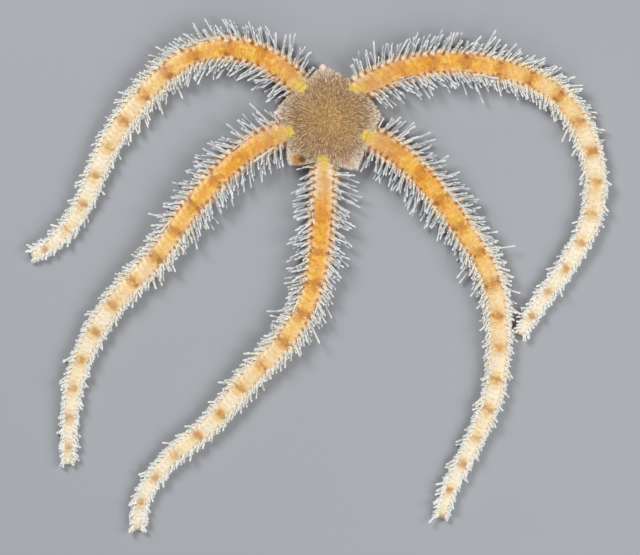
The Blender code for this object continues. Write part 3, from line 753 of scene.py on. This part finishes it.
def buildSpines(line, lines, material, dice):
    # One fan of ranks to each side of each segment, rooted on its side plate's ridge
    fromMiddle, fromTip = spines["reach"]
    firstSegment = math.ceil(along(line, "segment", fromMiddle))
    lastSegment = int(along(line, "segment", line["length"] - fromTip))
    ranks = np.array(spines["ranks"] + spines["between"])
    segments = np.arange(firstSegment, lastSegment + 1)
    choices = np.meshgrid(segments, (-1.0, 1.0), np.arange(len(ranks)), indexing="ij")
    segment, side, rank = (choice.ravel() for choice in choices)
    count = len(segment)
    isBetween = rank >= len(spines["ranks"])
    stand, off = spines["stand"]
    segment = segment + stand + 0.5 * isBetween + dice.uniform(-off, off, count)
    s = np.minimum(np.interp(segment, line["segment"], line["steps"]), line["length"] - 0.2)
    place, rise, part = ranks[rank].T
    share = along(line, "share", s)
    half, height = armSize(line, s)
    rootSway = spines["rootSway"]
    turn = np.radians(place - spines["climb"] * share + dice.uniform(-rootSway, rootSway, count))
    insetAcross, insetUp = spines["inset"]
    across, upward = sectionPlace(turn, half * insetAcross, height * insetUp)
    root = armPoint(line, s, side * across, upward + 0.02 * height)
    sweep = np.interp(s, *np.array(spines["sweep"], float).T)
    sweep += (spines["tipSweep"] - sweep) * smooth(*spines["tipReach"], line["length"] - s)
    fanSway, ownSway = spines["sway"]
    fan = np.repeat(dice.normal(0, fanSway, count // len(ranks)), len(ranks))
    sweep = np.radians(sweep + fan + ownSway * np.clip(dice.normal(0, 1, count), -2.5, 2.5))
    rise = np.radians(rise + dice.normal(0, 0.6 * ownSway, count))
    spec = spines["lying"]
    lying = (dice.uniform(0, 1, count) < spec["chance"]) & (place < spec["place"]) & (s > spec["from"])
    sweep = np.where(lying, np.radians(dice.uniform(*spec["sweep"], count)), sweep)
    rise = np.where(lying, np.radians(spec["rise"]), rise)
    heading = along(line, "heading", s)
    onward = np.stack([np.cos(heading), np.sin(heading), 0 * heading], -1)
    outward = np.stack([-np.sin(heading), np.cos(heading), 0 * heading], -1) * side[:, None]
    flat = np.cos(sweep)[:, None] * outward + np.sin(sweep)[:, None] * onward
    way = np.cos(rise)[:, None] * flat + np.sin(rise)[:, None] * up
    chance, gain = spines["long"]
    longer = 1 + gain * (dice.uniform(0, 1, count) < chance) * smooth(*spines["longFrom"], share)
    lack, power = spines["spread"]
    length = spineLength(share) * part * (spines["fullest"] - lack * dice.uniform(0, 1, count) ** power) * longer
    length = np.where(lying, spec["length"] * spineLength(share), length)
    length = length * (0.8 + 0.2 * smooth(7.0, 9.5, s))  # a fifth shorter beside the disc
    anyWay, tipWay = spines["bend"]
    bend = dice.normal(0, anyWay, (count, 3)) + tipWay * onward
    samples = np.linspace(0, 1, 9)[:, None]
    bent = samples * way[:, None] + samples**2 * bend[:, None]
    tries = [root[:, None] + cut * length[:, None, None] * bent for cut in spines["cuts"]]
    fits = np.stack([spineFits(tried, line, lines) for tried in tries], 1)
    keep = fits.any(1) & (~isBetween | (dice.uniform(0, 1, count) < smooth(*spines["betweenFrom"], share)))
    length = length * np.array(spines["cuts"])[fits.argmax(1)]
    radius = spines["radius"] * (1 + spines["swell"] * share) * (0.68 + 0.32 * part)  # short ranks are thinner
    radius = radius * dice.uniform(*spines["radiusSpread"], count)
    tone = dice.uniform(0, 1, count)
    points, faces, onwardShare, roundabout = rods(
        root[keep], way[keep], length[keep], bend[keep], radius[keep], spines["profile"], spines["sides"])
    points[..., 2] = np.maximum(points[..., 2], armSkin["underside"])
    size = points.shape[1]
    mapU = 0.03 + 0.94 * s[keep] / line["length"]
    mapV = (0.5 + 0.5 * side[keep] * turn[keep] / math.pi) * 0.96 + 0.02
    values = {
        "tip": np.tile(onwardShare, len(points)),
        "tone": np.repeat(tone[keep], size),
        "share": np.repeat(share[keep], size),
        "high": np.repeat(smooth(*spines["highPlaces"], place[keep]), size),
    }
    bakeMap = rodMap(mapU, mapV, onwardShare, roundabout)
    addPiece(f"{line['name']}_spines", points.reshape(-1, 3), faces, material, (), values, bakeMap)


def spineMaterial(grain):
    # Glassy grey shaft, whiter at its tip, tinted by the arm at its root, the more so the higher that stands
    colours = spines["colours"]
    made, tree, principled = newMaterial("glassy spine", Roughness=0.34, Coat_Weight=0.3, Coat_Roughness=0.2,
                                         Transmission_Weight=0.08, IOR=1.5)
    tip, tone, share = read(tree, "tip"), read(tree, "tone"), read(tree, "share")
    fine = useGroup(tree, grain, Scale=2400.0, Contrast=1.5)
    shaft = blend(tree, tone, *colours["shaft"])
    shaft = blend(tree, ease(tree, share, 0.2, 0.6, 0.0, 0.85), shaft, colours["farShaft"])
    shaft = blend(tree, ease(tree, tip, 0.6, 1.0, 0.0, 0.6), shaft, colours["tip"])
    rootReach = ease(tree, share, 0.1, 0.6, 0.5, 0.8)
    highShare = times(tree, read(tree, "high"), ease(tree, tip, 0.4, 0.1))
    root = blend(tree, highShare, ramp(tree, share, colours["root"]), ramp(tree, share, colours["highRoot"]))
    shaft = blend(tree, ease(tree, tip, rootReach, 0.1, 0.0, 0.95), shaft, root)
    shaft = blend(tree, times(tree, fine["Speck"], 0.25), shaft, colours["tip"])
    tree.links.new(shaft, principled.inputs["Base Color"])
    addBump(tree, principled, fine["Height"], 0.25, 0.03)
    return made


discSkin = {
    "angles": 360,
    "domeRows": 60,
    "edgeRows": 14,
    "underRows": 64,
    "hallRows": 16,
    "hallRadius": 1.7,
    "hallTop": 2.85,
    "rim": 0.94,  # share of the edge's reach from which the skin turns under
    "sunk": 0.02,  # mm that the skin lies under the dome
    "coverGap": 0.12,  # mm that the skin's underside may lie inside an arm
    "mouth": (5.1, 4.6),  # mm from the middle, over which the underside turns flat and white
    # mm: half a sac's width, where it begins, how deep it is; its finger-like slits' spacing, reach and depth
    "sac": {"half": 2.4, "from": (4.7, 5.6), "depth": 0.55},
    "fingers": {"spacing": 0.75, "outer": (6.3, 5.2), "inner": (4.8, 5.1), "depth": 0.5},
    "slots": {"half": (0.62, 0.3), "outer": (3.2, 2.6), "depth": 0.5},  # mm, of the mouth under each arm
    "frill": 0.09,  # mm by which the edge goes in and out
    "paintReach": 8.9,  # mm at which the palest colour is reached
    "shields": {"reach": 6.3, "off": 0.34, "size": (0.66, 0.7), "rise": 0.1},
    "beads": ((96, 8.2, 0.6), (173, 8.35, 0.34)),  # heading, reach, radius
    "rods": {"seed": 3, "spacing": 0.3, "length": (0.25, 0.62), "radius": 0.11, "rise": 24.0, "overhang": 0.32,
             "long": (0.07, 1.9),  # share of the rods that are longer, and how many times
             "bare": 0.62,  # none where the shields' mask is above this
             "outermost": 9.4,  # mm to the last ring
             "profile": ((0.0, 0.8), (0.4, 1.0), (0.8, 0.9), (1.0, 0.5)), "sides": 5},
    "stains": (  # heading, reach, radius, colour, share
        (226, 8.9, 0.8, "palePatch", 0.6), (233, 7.9, 1.0, "stain", 0.9), (237, 7.5, 0.62, "stainCore", 0.9),
        (293, 7.3, 1.1, "blush", 0.28),
    ),
    "colours": {
        "centre": (0.49, 0.285, 0.088),
        "middle": (0.45, 0.265, 0.09),
        "outer": (0.40, 0.245, 0.095),
        "corner": (0.78, 0.68, 0.54),
        "paleRods": [(0.0, (0.69, 0.43, 0.155)), (0.5, (0.60, 0.39, 0.18)), (0.72, (0.74, 0.56, 0.36)),
                     (0.93, (0.92, 0.84, 0.72))],
        "darkRod": (0.24, 0.13, 0.055),
        "mauve": (0.48, 0.31, 0.27),
        "rodSpeck": (0.90, 0.78, 0.56),
        "shield": (0.76, 0.52, 0.05),
        "shieldPale": (0.82, 0.62, 0.14),
        "sac": (0.38, 0.18, 0.075),
        "sacPale": (0.55, 0.31, 0.16),
        "sacInner": (0.17, 0.075, 0.028),
        "sacRim": (0.72, 0.50, 0.36),
        # painted shade, near black, for the slits and the mouth's slots
        "slotShade": (0.06, 0.03, 0.012),
        "mouthPlate": ((0.56, 0.50, 0.40), (0.74, 0.70, 0.63)),
        # painted shade, near black, for the hall up into the mouth
        "hallShade": (0.10, 0.062, 0.025),
        "stain": (0.56, 0.23, 0.012),
        "stainCore": (0.13, 0.05, 0.008),
        "palePatch": (0.86, 0.66, 0.48),
        "blush": (0.56, 0.22, 0.15),
    },
}


def armCover(x, y):
    # Height of the nearest arm's back over a point, falling away beside the arm
    cover = np.zeros_like(x)
    shareAbove, shareUnder = armSkin["sectionShares"]
    dx, dy = x - body["discCentre"][0], y - body["discCentre"][1]
    for heading in armHeadings():
        out = dx * math.cos(heading) + dy * math.sin(heading)
        off = np.abs(dy * math.cos(heading) - dx * math.sin(heading))
        half = np.interp(out, body["rootStations"], body["rootHalfWidths"])
        height = np.interp(out, body["rootStations"], body["rootHeights"])
        top = height * (shareUnder + shareAbove * np.sqrt(1 - np.clip(off / half, 0, 1) ** 2))
        cover = np.maximum(cover, top * smooth(half + 0.45, half, off) * (out > 0))
    return cover


def shieldMask(x, y, grow=1.0):
    # 1 on the pair of shields above the root of each arm: an ellipse round each middle
    spec = discSkin["shields"]
    long, wide = np.array(spec["size"]) * grow
    mask = np.zeros_like(x)
    for heading in armHeadings():
        onward = x * math.cos(heading) + y * math.sin(heading) - spec["reach"]
        across = np.abs(y * math.cos(heading) - x * math.sin(heading)) - spec["off"]
        mask = np.maximum(mask, smooth(1.45, 0.35, np.hypot(onward / long, across / wide)))
    return mask


def discPoint(heading, reach, height):
    # A point at a heading and a distance from the disc's middle, at a height
    centreX, centreY = body["discCentre"]
    x, y = centreX + reach * np.cos(heading), centreY + reach * np.sin(heading)
    return np.stack(np.broadcast_arrays(x, y, height), -1)


def discRelief(angles, reach):
    # Soft folds that run outwards: two sines round the disc, stronger towards the edge
    share = reach / discEdge(angles)
    folds = np.sin(angles * 23 + 2.1 * np.sin(angles * 5)) * 0.5 + np.sin(angles * 41 + 1.3) * 0.3
    return 0.035 * folds * smooth(0.25, 0.8, share) * smooth(1.0, 0.9, share)


def discFrill(angles):
    # The edge's small ins and outs: three sines round the disc
    waves = 0.45 * np.sin(17 * angles + 0.6) + 0.35 * np.sin(31 * angles + 2.0) + 0.3 * np.sin(53 * angles)
    return discSkin["frill"] * waves


def buildDisc(material, rodMaterial, beadMaterial):
    # Rings from the top's middle over the dome, round the edge, in under the corners and up into the mouth
    angles = np.linspace(0, 2 * math.pi, discSkin["angles"], endpoint=False)[None]
    shoulder, underside, rim = discShoulder(angles), body["discUnderside"], discSkin["rim"]
    edge = discEdge(angles) + discFrill(angles)
    centreX, centreY = body["discCentre"]
    reachTop = np.linspace(0.012, rim, discSkin["domeRows"])[:, None] * edge
    x, y = reachTop * np.cos(angles), reachTop * np.sin(angles)
    heightTop = discHeight(angles, reachTop) - discSkin["sunk"] + discRelief(angles, reachTop)
    heightTop = np.minimum(heightTop + discSkin["shields"]["rise"] * shieldMask(x, y), body["highest"])

    rimReach = rim * edge
    rimTop = discHeight(angles, rimReach) - discSkin["sunk"]
    cover = armCover(centreX + rimReach * np.cos(angles), centreY + rimReach * np.sin(angles))
    rimUnder = np.maximum(underside + 0.12, cover - discSkin["coverGap"])
    bulge = underside + 0.6 * (shoulder - underside)
    bulge = np.maximum(bulge, rimUnder + 0.3 * (rimTop - rimUnder))
    swing = np.linspace(90, -90, discSkin["edgeRows"] + 2)[1:-1, None] * math.pi / 180
    reachEdge = edge * (rim + 0.06 * np.cos(swing))
    heightEdge = bulge + np.where(swing > 0, rimTop - bulge, bulge - rimUnder) * np.sin(swing)

    # under each gap between arms a sac, fluted into finger-like slits at its inner end
    inner = np.linspace(0, 1, discSkin["underRows"])[:, None] ** 0.9
    reachUnder = rimReach * (1 - inner) + (discSkin["hallRadius"] + 0.15) * inner
    x, y = centreX + reachUnder * np.cos(angles), centreY + reachUnder * np.sin(angles)
    sacSpec, fingerSpec, slotSpec = discSkin["sac"], discSkin["fingers"], discSkin["slots"]
    acrossGap = turnFrom(angles, gapHeadings()) * reachUnder
    sac = np.sqrt(np.clip(1 - (acrossGap / sacSpec["half"]) ** 2, 0, 1)) * smooth(*sacSpec["from"], reachUnder)
    fingers = smooth(0.35, 0.8, np.cos(acrossGap * 2 * math.pi / fingerSpec["spacing"]))
    fingers = fingers * smooth(*fingerSpec["outer"], reachUnder) * smooth(*fingerSpec["inner"], reachUnder)
    aroundMouth = smooth(*discSkin["mouth"], reachUnder)
    heightUnder = underside + sacSpec["depth"] * (1 - sac) * (1 - aroundMouth)
    heightUnder = heightUnder + fingerSpec["depth"] * fingers * sac
    heightUnder = np.maximum(heightUnder, (armCover(x, y) - discSkin["coverGap"]) * (1 - aroundMouth))
    acrossArm = turnFrom(angles, armHeadings()) * reachUnder
    mouthSlots = smooth(*slotSpec["half"], acrossArm) * smooth(*slotSpec["outer"], reachUnder)
    heightUnder = heightUnder + slotSpec["depth"] * mouthSlots

    rise = np.linspace(0, 1, discSkin["hallRows"])[:, None] * math.pi / 2
    reachHall = discSkin["hallRadius"] * np.cos(rise * 0.985) ** 0.5 + 0 * angles
    heightHall = np.maximum(heightUnder[-1:], 0.9) * (1 - np.sin(rise)) + discSkin["hallTop"] * np.sin(rise)
    reach = np.concatenate([reachTop, reachEdge, reachUnder, reachHall[1:]])
    height = np.concatenate([heightTop, heightEdge, heightUnder, heightHall[1:]])
    rows = len(reach)
    x, y = reach * np.cos(angles), reach * np.sin(angles)
    rings = discPoint(angles, reach, height)
    ends = np.array([(centreX, centreY, height[0].mean()), (centreX, centreY, height[-1].mean())])
    points = np.concatenate([rings.reshape(-1, 3), ends])

    onTop, inHall = np.zeros((rows, 1)), np.zeros((rows, 1))
    slots, white = np.zeros_like(reach), np.zeros_like(reach)
    under = slice(len(reachTop) + len(reachEdge), -len(reachHall) + 1)
    onTop[:len(reachTop) + len(reachEdge) // 2] = 1
    inHall[-len(reachHall) + 1:] = 1
    slots[under] = np.maximum(fingers, mouthSlots)
    white[under] = aroundMouth
    values = {
        "reach": reach / discSkin["paintReach"],
        "turn": np.mod(angles, 2 * math.pi),
        "top": onTop,
        "hallShade": inHall,
        "slot": slots,
        "white": white,
        "shield": shieldMask(x, y, 1.05) * onTop,
    }
    values = {key: onGrid(value, reach.shape) for key, value in values.items()}
    addPiece("disc_skin", points, ringFaces(rows, discSkin["angles"]), material, ["disc"], values)
    buildDiscRods(rodMaterial)
    heading, reach, radius = np.array(discSkin["beads"]).T
    heading = np.radians(heading)
    centres = discPoint(heading, reach, discHeight(heading, reach) + 0.02)
    onward = np.stack([np.cos(heading), np.sin(heading), 0 * heading], -1)
    beadPoints, beadFaces = pebbles(centres, onward, np.tile(radius[:, None], (1, 3)), 16, 24)
    addPiece("disc_beads", beadPoints.reshape(-1, 3), beadFaces, beadMaterial, ())


def discPaint(tree, reach, streak):
    # The disc's tones by reach, darker in the streaks, so that skin and rods have the same ones
    colours = discSkin["colours"]
    stops = ((0.0, "centre"), (0.2, "centre"), (0.42, "middle"), (0.66, "outer"), (0.88, "corner"))
    base = ramp(tree, reach, [(place, colours[name]) for place, name in stops])
    base = shade(tree, ease(tree, streak, 0.35, 0.62), base, 0.7)
    speckle = noise(tree, 420.0)  # no vector, so it follows the piece's own box, as fine grain
    mauveShare = times(tree, ease(tree, speckle, 0.5, 0.68), ease(tree, reach, 0.3, 0.6), 0.3)
    return blend(tree, mauveShare, base, colours["mauve"])


def discStains(tree, x, y, base):
    # Round stains: the colour's share falls from the middle to the rim, which a fine grain makes uneven
    uneven = times(tree, noise(tree, 1300.0), 0.9 * mm)  # no vector, as in discPaint
    for heading, distance, size, colour, amount in discSkin["stains"]:
        cx = (body["discCentre"][0] + distance * math.cos(math.radians(heading))) * mm
        cy = (body["discCentre"][1] + distance * math.sin(math.radians(heading))) * mm
        dx, dy = sums(tree, "SUBTRACT", x, cx), sums(tree, "SUBTRACT", y, cy)
        squares = sums(tree, "ADD", times(tree, dx, dx), times(tree, dy, dy))
        away = sums(tree, "ADD", sums(tree, "SQRT", squares), uneven)
        share = ease(tree, away, (size * 1.3 + 0.45) * mm, (size * 0.5 + 0.45) * mm, 0.0, amount)
        base = blend(tree, share, base, discSkin["colours"][colour])
    return base


def discPlace(tree):
    place = put(tree, "ShaderNodeTexCoord").outputs["Object"]
    parts = put(tree, "ShaderNodeSeparateXYZ", {0: place}).outputs
    return parts["X"], parts["Y"]


def discMaterial(grain):
    # Streaked leather with yellow shields above, brown slit sacs below, painted shade near black in the slits,
    # the mouth's slots and the hall
    colours = discSkin["colours"]
    made, tree, principled = newMaterial("streaked disc skin", Roughness=0.6, Coat_Weight=0.1)
    x, y = discPlace(tree)
    reach, turn = read(tree, "reach"), read(tree, "turn")
    streak = noise(tree, 2.0, 3.0, pair(tree, times(tree, turn, 16.0), times(tree, reach, 5.0)))
    base = discStains(tree, x, y, discPaint(tree, reach, streak))
    fine = useGroup(tree, grain, Scale=2400.0, Contrast=1.5)
    coarse = useGroup(tree, grain, Scale=700.0, Contrast=1.5)
    yellow = blend(tree, coarse["Tone"], colours["shield"], colours["shieldPale"])
    base = blend(tree, read(tree, "shield"), base, yellow)
    sac = blend(tree, ease(tree, coarse["Tone"], 0.3, 0.7), colours["sac"], colours["sacPale"])
    inward = sums(tree, "ADD", reach, times(tree, streak, 0.25))
    sac = blend(tree, ease(tree, inward, 0.9, 0.72), sac, colours["sacInner"])
    sac = blend(tree, ease(tree, reach, 0.86, 1.0), sac, colours["sacRim"])
    sac = blend(tree, read(tree, "white"), sac, blend(tree, coarse["Tone"], *colours["mouthPlate"]))
    # painted shade: the slits and the mouth's slots turn near black
    sac = blend(tree, ease(tree, read(tree, "slot"), 0.25, 0.7), sac, colours["slotShade"])
    base = blend(tree, ease(tree, read(tree, "top"), 0.2, 0.8), sac, base)
    # painted shade: the hall up into the mouth turns near black
    base = blend(tree, read(tree, "hallShade"), base, colours["hallShade"])
    tree.links.new(base, principled.inputs["Base Color"])
    tree.links.new(ease(tree, fine["Tone"], 0.2, 0.8, 0.5, 0.7), principled.inputs["Roughness"])
    addBump(tree, principled, sums(tree, "ADD", streak, times(tree, fine["Height"], 0.4)), 0.5, 0.1)
    return made


def buildDiscRods(material):
    # Short rods in rings, lying outwards over the dome with their tips a little raised; each at its own tone
    spec = discSkin["rods"]
    dice = np.random.default_rng(spec["seed"])
    headings, reaches = [], []
    for ring in np.arange(0.25, spec["outermost"], spec["spacing"]):
        count = max(int(2 * math.pi * ring / (spec["spacing"] * 0.76)), 5)
        turn = np.linspace(0, 2 * math.pi, count, endpoint=False) + dice.uniform(0, 1)
        headings.append(turn + dice.normal(0, 0.07 / ring, count))
        reaches.append(ring + dice.uniform(-0.5, 0.5, count) * spec["spacing"])
    heading, reach = np.concatenate(headings), np.abs(np.concatenate(reaches))
    edge = discEdge(heading) + discFrill(heading)
    shielded = shieldMask(reach * np.cos(heading), reach * np.sin(heading))
    keep = (reach < edge * 0.965) & (shielded <= spec["bare"])
    heading, reach, edge, shielded = heading[keep], reach[keep], edge[keep], shielded[keep]
    count = len(heading)
    lean = heading + dice.normal(0, 0.16, count)
    share = reach / edge
    chance, howMany = spec["long"]
    isLong = dice.uniform(0, 1, count) < chance
    length = dice.uniform(*spec["length"], count) * (1 - 0.4 * shielded) * np.where(isLong, howMany, 1.0)
    length = np.minimum(length, edge - reach + dice.uniform(0.0, spec["overhang"], count))
    slope = (discHeight(heading, reach + 0.3) - discHeight(heading, reach)) / 0.3
    lift = dice.uniform(0.2, 1.0, count) * spec["rise"] * smooth(1.0, 0.8, share) * smooth(-0.2, 0.4, share)
    rise = np.arctan(slope) + np.radians(lift)
    way = np.stack([np.cos(lean) * np.cos(rise), np.sin(lean) * np.cos(rise), np.sin(rise)], -1)
    root = discPoint(heading, reach, discHeight(heading, reach) - 0.05)
    radius = spec["radius"] * dice.uniform(0.75, 1.25, count)
    bend = np.tile((0.0, 0.0, -0.05), (count, 1))
    points, faces, onward, roundabout = rods(root, way, length, bend, radius, spec["profile"], spec["sides"])
    points[..., 2] = np.minimum(points[..., 2], body["highest"])
    size = points.shape[1]
    arc = reach / spec["outermost"] * (1 + 0.25 * share**2)
    bakeMap = rodMap(0.5 + 0.38 * arc * np.cos(heading), 0.5 + 0.38 * arc * np.sin(heading), onward, roundabout)
    values = {
        "tone": np.repeat(np.where(isLong, 1.0, dice.uniform(0, 1, count)), size),
        "tip": np.tile(onward, count),
        "mauve": np.repeat(dice.uniform(0, 1, count) ** 2, size),
        "reach": np.repeat(reach / discSkin["paintReach"], size),
        "shield": np.repeat(smooth(0.2, 0.8, shielded + dice.uniform(-0.35, 0.35, count)), size),
    }
    addPiece("disc_rods", points.reshape(-1, 3), faces, material, (), values, bakeMap)


def discRodMaterial(grain):
    # The disc's own markings, from dark rods to pale ones
    colours = discSkin["colours"]
    made, tree, principled = newMaterial("disc rods", Roughness=0.45, Coat_Weight=0.15)
    x, y = discPlace(tree)
    tone, tip, reach = read(tree, "tone"), read(tree, "tip"), read(tree, "reach")
    base = discPaint(tree, reach, 0.2)
    base = blend(tree, ease(tree, tone, 0.45, 0.9, 0.0, 0.85), base, ramp(tree, reach, colours["paleRods"]))
    base = blend(tree, ease(tree, tone, 0.4, 0.1, 0.0, 0.75), base, colours["darkRod"])
    mauveShare = times(tree, read(tree, "mauve"), ease(tree, reach, 0.15, 0.5, 0.2, 0.45))
    base = blend(tree, mauveShare, base, colours["mauve"])
    base = discStains(tree, x, y, base)
    yellow = blend(tree, tone, colours["shield"], colours["shieldPale"])
    base = blend(tree, times(tree, read(tree, "shield"), ease(tree, tone, 0.0, 0.5, 0.6, 0.95)), base, yellow)
    fine = useGroup(tree, grain, Scale=2600.0, Contrast=1.2)
    base = blend(tree, times(tree, fine["Speck"], ease(tree, tip, 0.2, 1.0), 0.4), base, colours["rodSpeck"])
    tree.links.new(base, principled.inputs["Base Color"])
    return made


jaws = {
    # distance from the mouth, half width, underside and top
    "stations": ((0.9, 0.26, 0.75, 1.9), (1.05, 0.38, 0.55, 2.3), (1.6, 0.58, 0.5, 2.5), (2.4, 0.78, 0.5, 2.5),
                 (3.2, 0.98, 0.45, 2.5), (4.1, 0.95, 0.45, 2.4), (4.4, 0.7, 0.6, 2.2)),
    "plates": (  # distance, offset to a side, half sizes onward, across, up
        (1.5, 0.0, 0.46, 0.56, 0.42), (3.75, 0.0, 0.78, 0.92, 0.24),
        (2.55, 0.36, 0.62, 0.36, 0.26), (2.55, -0.36, 0.62, 0.36, 0.26),
        (0.98, 0.0, 0.22, 0.17, 0.3), (1.06, 0.24, 0.18, 0.13, 0.26), (1.06, -0.24, 0.18, 0.13, 0.26),
        (1.36, 0.5, 0.2, 0.14, 0.22), (1.36, -0.5, 0.2, 0.14, 0.22),
        (1.72, 0.68, 0.11, 0.24, 0.18), (1.72, -0.68, 0.11, 0.24, 0.18),
        (2.0, 0.8, 0.11, 0.26, 0.18), (2.0, -0.8, 0.11, 0.26, 0.18),
        (2.29, 0.9, 0.12, 0.27, 0.18), (2.29, -0.9, 0.12, 0.27, 0.18),
        (2.6, 1.0, 0.12, 0.28, 0.2), (2.6, -1.0, 0.12, 0.28, 0.2),
        (2.92, 1.08, 0.13, 0.27, 0.2), (2.92, -1.08, 0.13, 0.27, 0.2),
    ),
    "level": 0.62,  # mm off the floor of the plates' middles
    "sections": 40,
    "sides": 28,
    "squareness": 0.6,  # power of the section: 1 is round
    "colours": {"plate": ((0.62, 0.55, 0.43), (0.77, 0.72, 0.63)), "speck": (0.88, 0.85, 0.79),
                # the dark brown one is painted shade, for where the jaws rise into the mouth
                "mouthShade": (0.16, 0.095, 0.04), "bead": ((0.80, 0.56, 0.45), (0.88, 0.76, 0.68))},
}


def buildJaws(material):
    # Wedge: a rounded section carried out along the gap's heading; plates: flattened ellipsoids under it
    stations = np.array(jaws["stations"])
    sides, power = jaws["sides"], jaws["squareness"]
    reach = np.linspace(stations[0, 0], stations[-1, 0], jaws["sections"])
    half, low, high = (np.interp(reach, stations[:, 0], stations[:, i])[:, None] for i in (1, 2, 3))
    turn = np.linspace(0, 2 * math.pi, sides, endpoint=False)[None]
    across = half * np.sign(np.cos(turn)) * np.abs(np.cos(turn)) ** power
    level = 0.5 * (low + high) + 0.5 * (high - low) * np.sign(np.sin(turn)) * np.abs(np.sin(turn)) ** power
    plates = np.array(jaws["plates"])
    centre = np.array((*body["discCentre"], 0.0))
    shapes = []
    for heading in gapHeadings():
        onward = np.array((math.cos(heading), math.sin(heading), 0.0))
        left = np.cross(up, onward)
        rings = centre + reach[:, None, None] * onward + across[..., None] * left + level[..., None] * up
        wedge = np.concatenate([rings.reshape(-1, 3), rings[[0, -1]].mean(1)])
        shapes.append((wedge, ringFaces(len(reach), sides)))
        centres = centre + plates[:, :1] * onward + plates[:, 1:2] * left + jaws["level"] * up
        shapes.append(pebbles(centres, np.tile(onward, (len(plates), 1)), plates[:, 2:], 9, 16, 0.8))
    points, faces = joined(shapes)
    addPiece("jaws", points, faces, material, [f"jaw_{i}" for i in range(1, 6)])


def jawMaterial(grain):
    # Cream plates below, painted shade in dark brown higher up in the mouth
    colours = jaws["colours"]
    made, tree, principled = newMaterial("cream jaw plates", Roughness=0.45, Coat_Weight=0.15)
    place = put(tree, "ShaderNodeTexCoord").outputs["Object"]
    height = put(tree, "ShaderNodeSeparateXYZ", {0: place}).outputs["Z"]
    coarse = useGroup(tree, grain, Scale=800.0, Contrast=1.3)
    fine = useGroup(tree, grain, Scale=2600.0, Contrast=1.2)
    base = blend(tree, coarse["Tone"], *colours["plate"])
    base = blend(tree, times(tree, fine["Speck"], 0.4), base, colours["speck"])
    # painted shade: the jaws darken where they rise into the mouth
    base = blend(tree, ease(tree, height, 0.7 * mm, 1.5 * mm), base, colours["mouthShade"])
    tree.links.new(base, principled.inputs["Base Color"])
    addBump(tree, principled, coarse["Height"], 0.4, 0.06)
    return made


def beadMaterial(grain):
    # Pinkish white, cloudy
    made, tree, principled = newMaterial("pink bead", Roughness=0.35, Coat_Weight=0.3)
    coarse = useGroup(tree, grain, Scale=1200.0, Contrast=1.3)
    tree.links.new(blend(tree, coarse["Tone"], *jaws["colours"]["bead"]), principled.inputs["Base Color"])
    addBump(tree, principled, coarse["Height"], 0.5, 0.06)
    return made


studio = {
    "floor": (0.36, 0.37, 0.39),
    "floorSize": 3.0,
    "sky": (0.9, 0.95, 1.0),
    "skyStrength": 0.2,
    "lights": {  # place in metres, size in metres, watts
        "key": ((-0.24, 0.26, 0.34), 0.22, 1.62),
        "fill": ((0.30, -0.05, 0.26), 0.26, 0.8),
        "rim": ((0.05, -0.34, 0.22), 0.24, 0.5),
    },
    "viewTransform": "Standard",  # keeps the strong orange, which a film-like curve would wash out
    "cameraHeight": 0.6,
    "viewWidth": 101.33,  # mm across the frame at the floor
    "viewMiddle": (0.2, -0.35),
}


def buildStudio():
    scene = bpy.context.scene
    size = studio["floorSize"] / 2
    corners = [(-size, -size, 0), (size, -size, 0), (size, size, 0), (-size, size, 0)]
    mesh = bpy.data.meshes.new("floor")
    mesh.from_pydata(corners, [], [(0, 1, 2, 3)])
    material, _, principled = newMaterial("plain floor", Roughness=0.8)
    principled.inputs["Base Color"].default_value = (*studio["floor"], 1.0)
    mesh.materials.append(material)
    floor = bpy.data.objects.new("floor", mesh)
    scene.collection.objects.link(floor)
    world = bpy.data.worlds.new("sky")
    world.use_nodes = True
    world.node_tree.nodes["Background"].inputs["Color"].default_value = (*studio["sky"], 1.0)
    world.node_tree.nodes["Background"].inputs["Strength"].default_value = studio["skyStrength"]
    scene.world = world
    for name, (place, width, power) in studio["lights"].items():
        light = bpy.data.lights.new(name, "AREA")
        light.shape = "DISK"
        light.size = width
        light.energy = power
        lamp = bpy.data.objects.new(name, light)
        lamp.location = place
        tilt = math.acos(place[2] / math.hypot(*place))
        lamp.rotation_euler = (tilt, 0.0, math.atan2(place[1], place[0]) + math.pi / 2)
        scene.collection.objects.link(lamp)
    camera = bpy.data.objects.new("camera", bpy.data.cameras.new("camera"))
    camera.data.sensor_width = 36.0
    camera.data.lens = camera.data.sensor_width * studio["cameraHeight"] / (studio["viewWidth"] * mm)
    camera.data.clip_start = 0.01
    camera.location = (studio["viewMiddle"][0] * mm, studio["viewMiddle"][1] * mm, studio["cameraHeight"])
    scene.collection.objects.link(camera)
    scene.camera = camera
    scene.view_settings.view_transform = studio["viewTransform"]


def main():
    grain, mark = calciteGrainGroup(), repeatedMarkGroup()
    print("shader groups made")
    lines = [armLine(name) for name in body["arms"]]
    skinMaterial, glass = armSkinMaterial(grain, mark), spineMaterial(grain)
    dice = np.random.default_rng(spines["seed"])
    for line in lines:
        buildArmSkin(line, skinMaterial)
        buildSpines(line, lines, glass, dice)
    print("arms made")
    buildDisc(discMaterial(grain), discRodMaterial(grain), beadMaterial(grain))
    print("disc made")
    buildJaws(jawMaterial(grain))
    print("mouth made")
    buildStudio()
    print("floor, lights and camera made")


main()
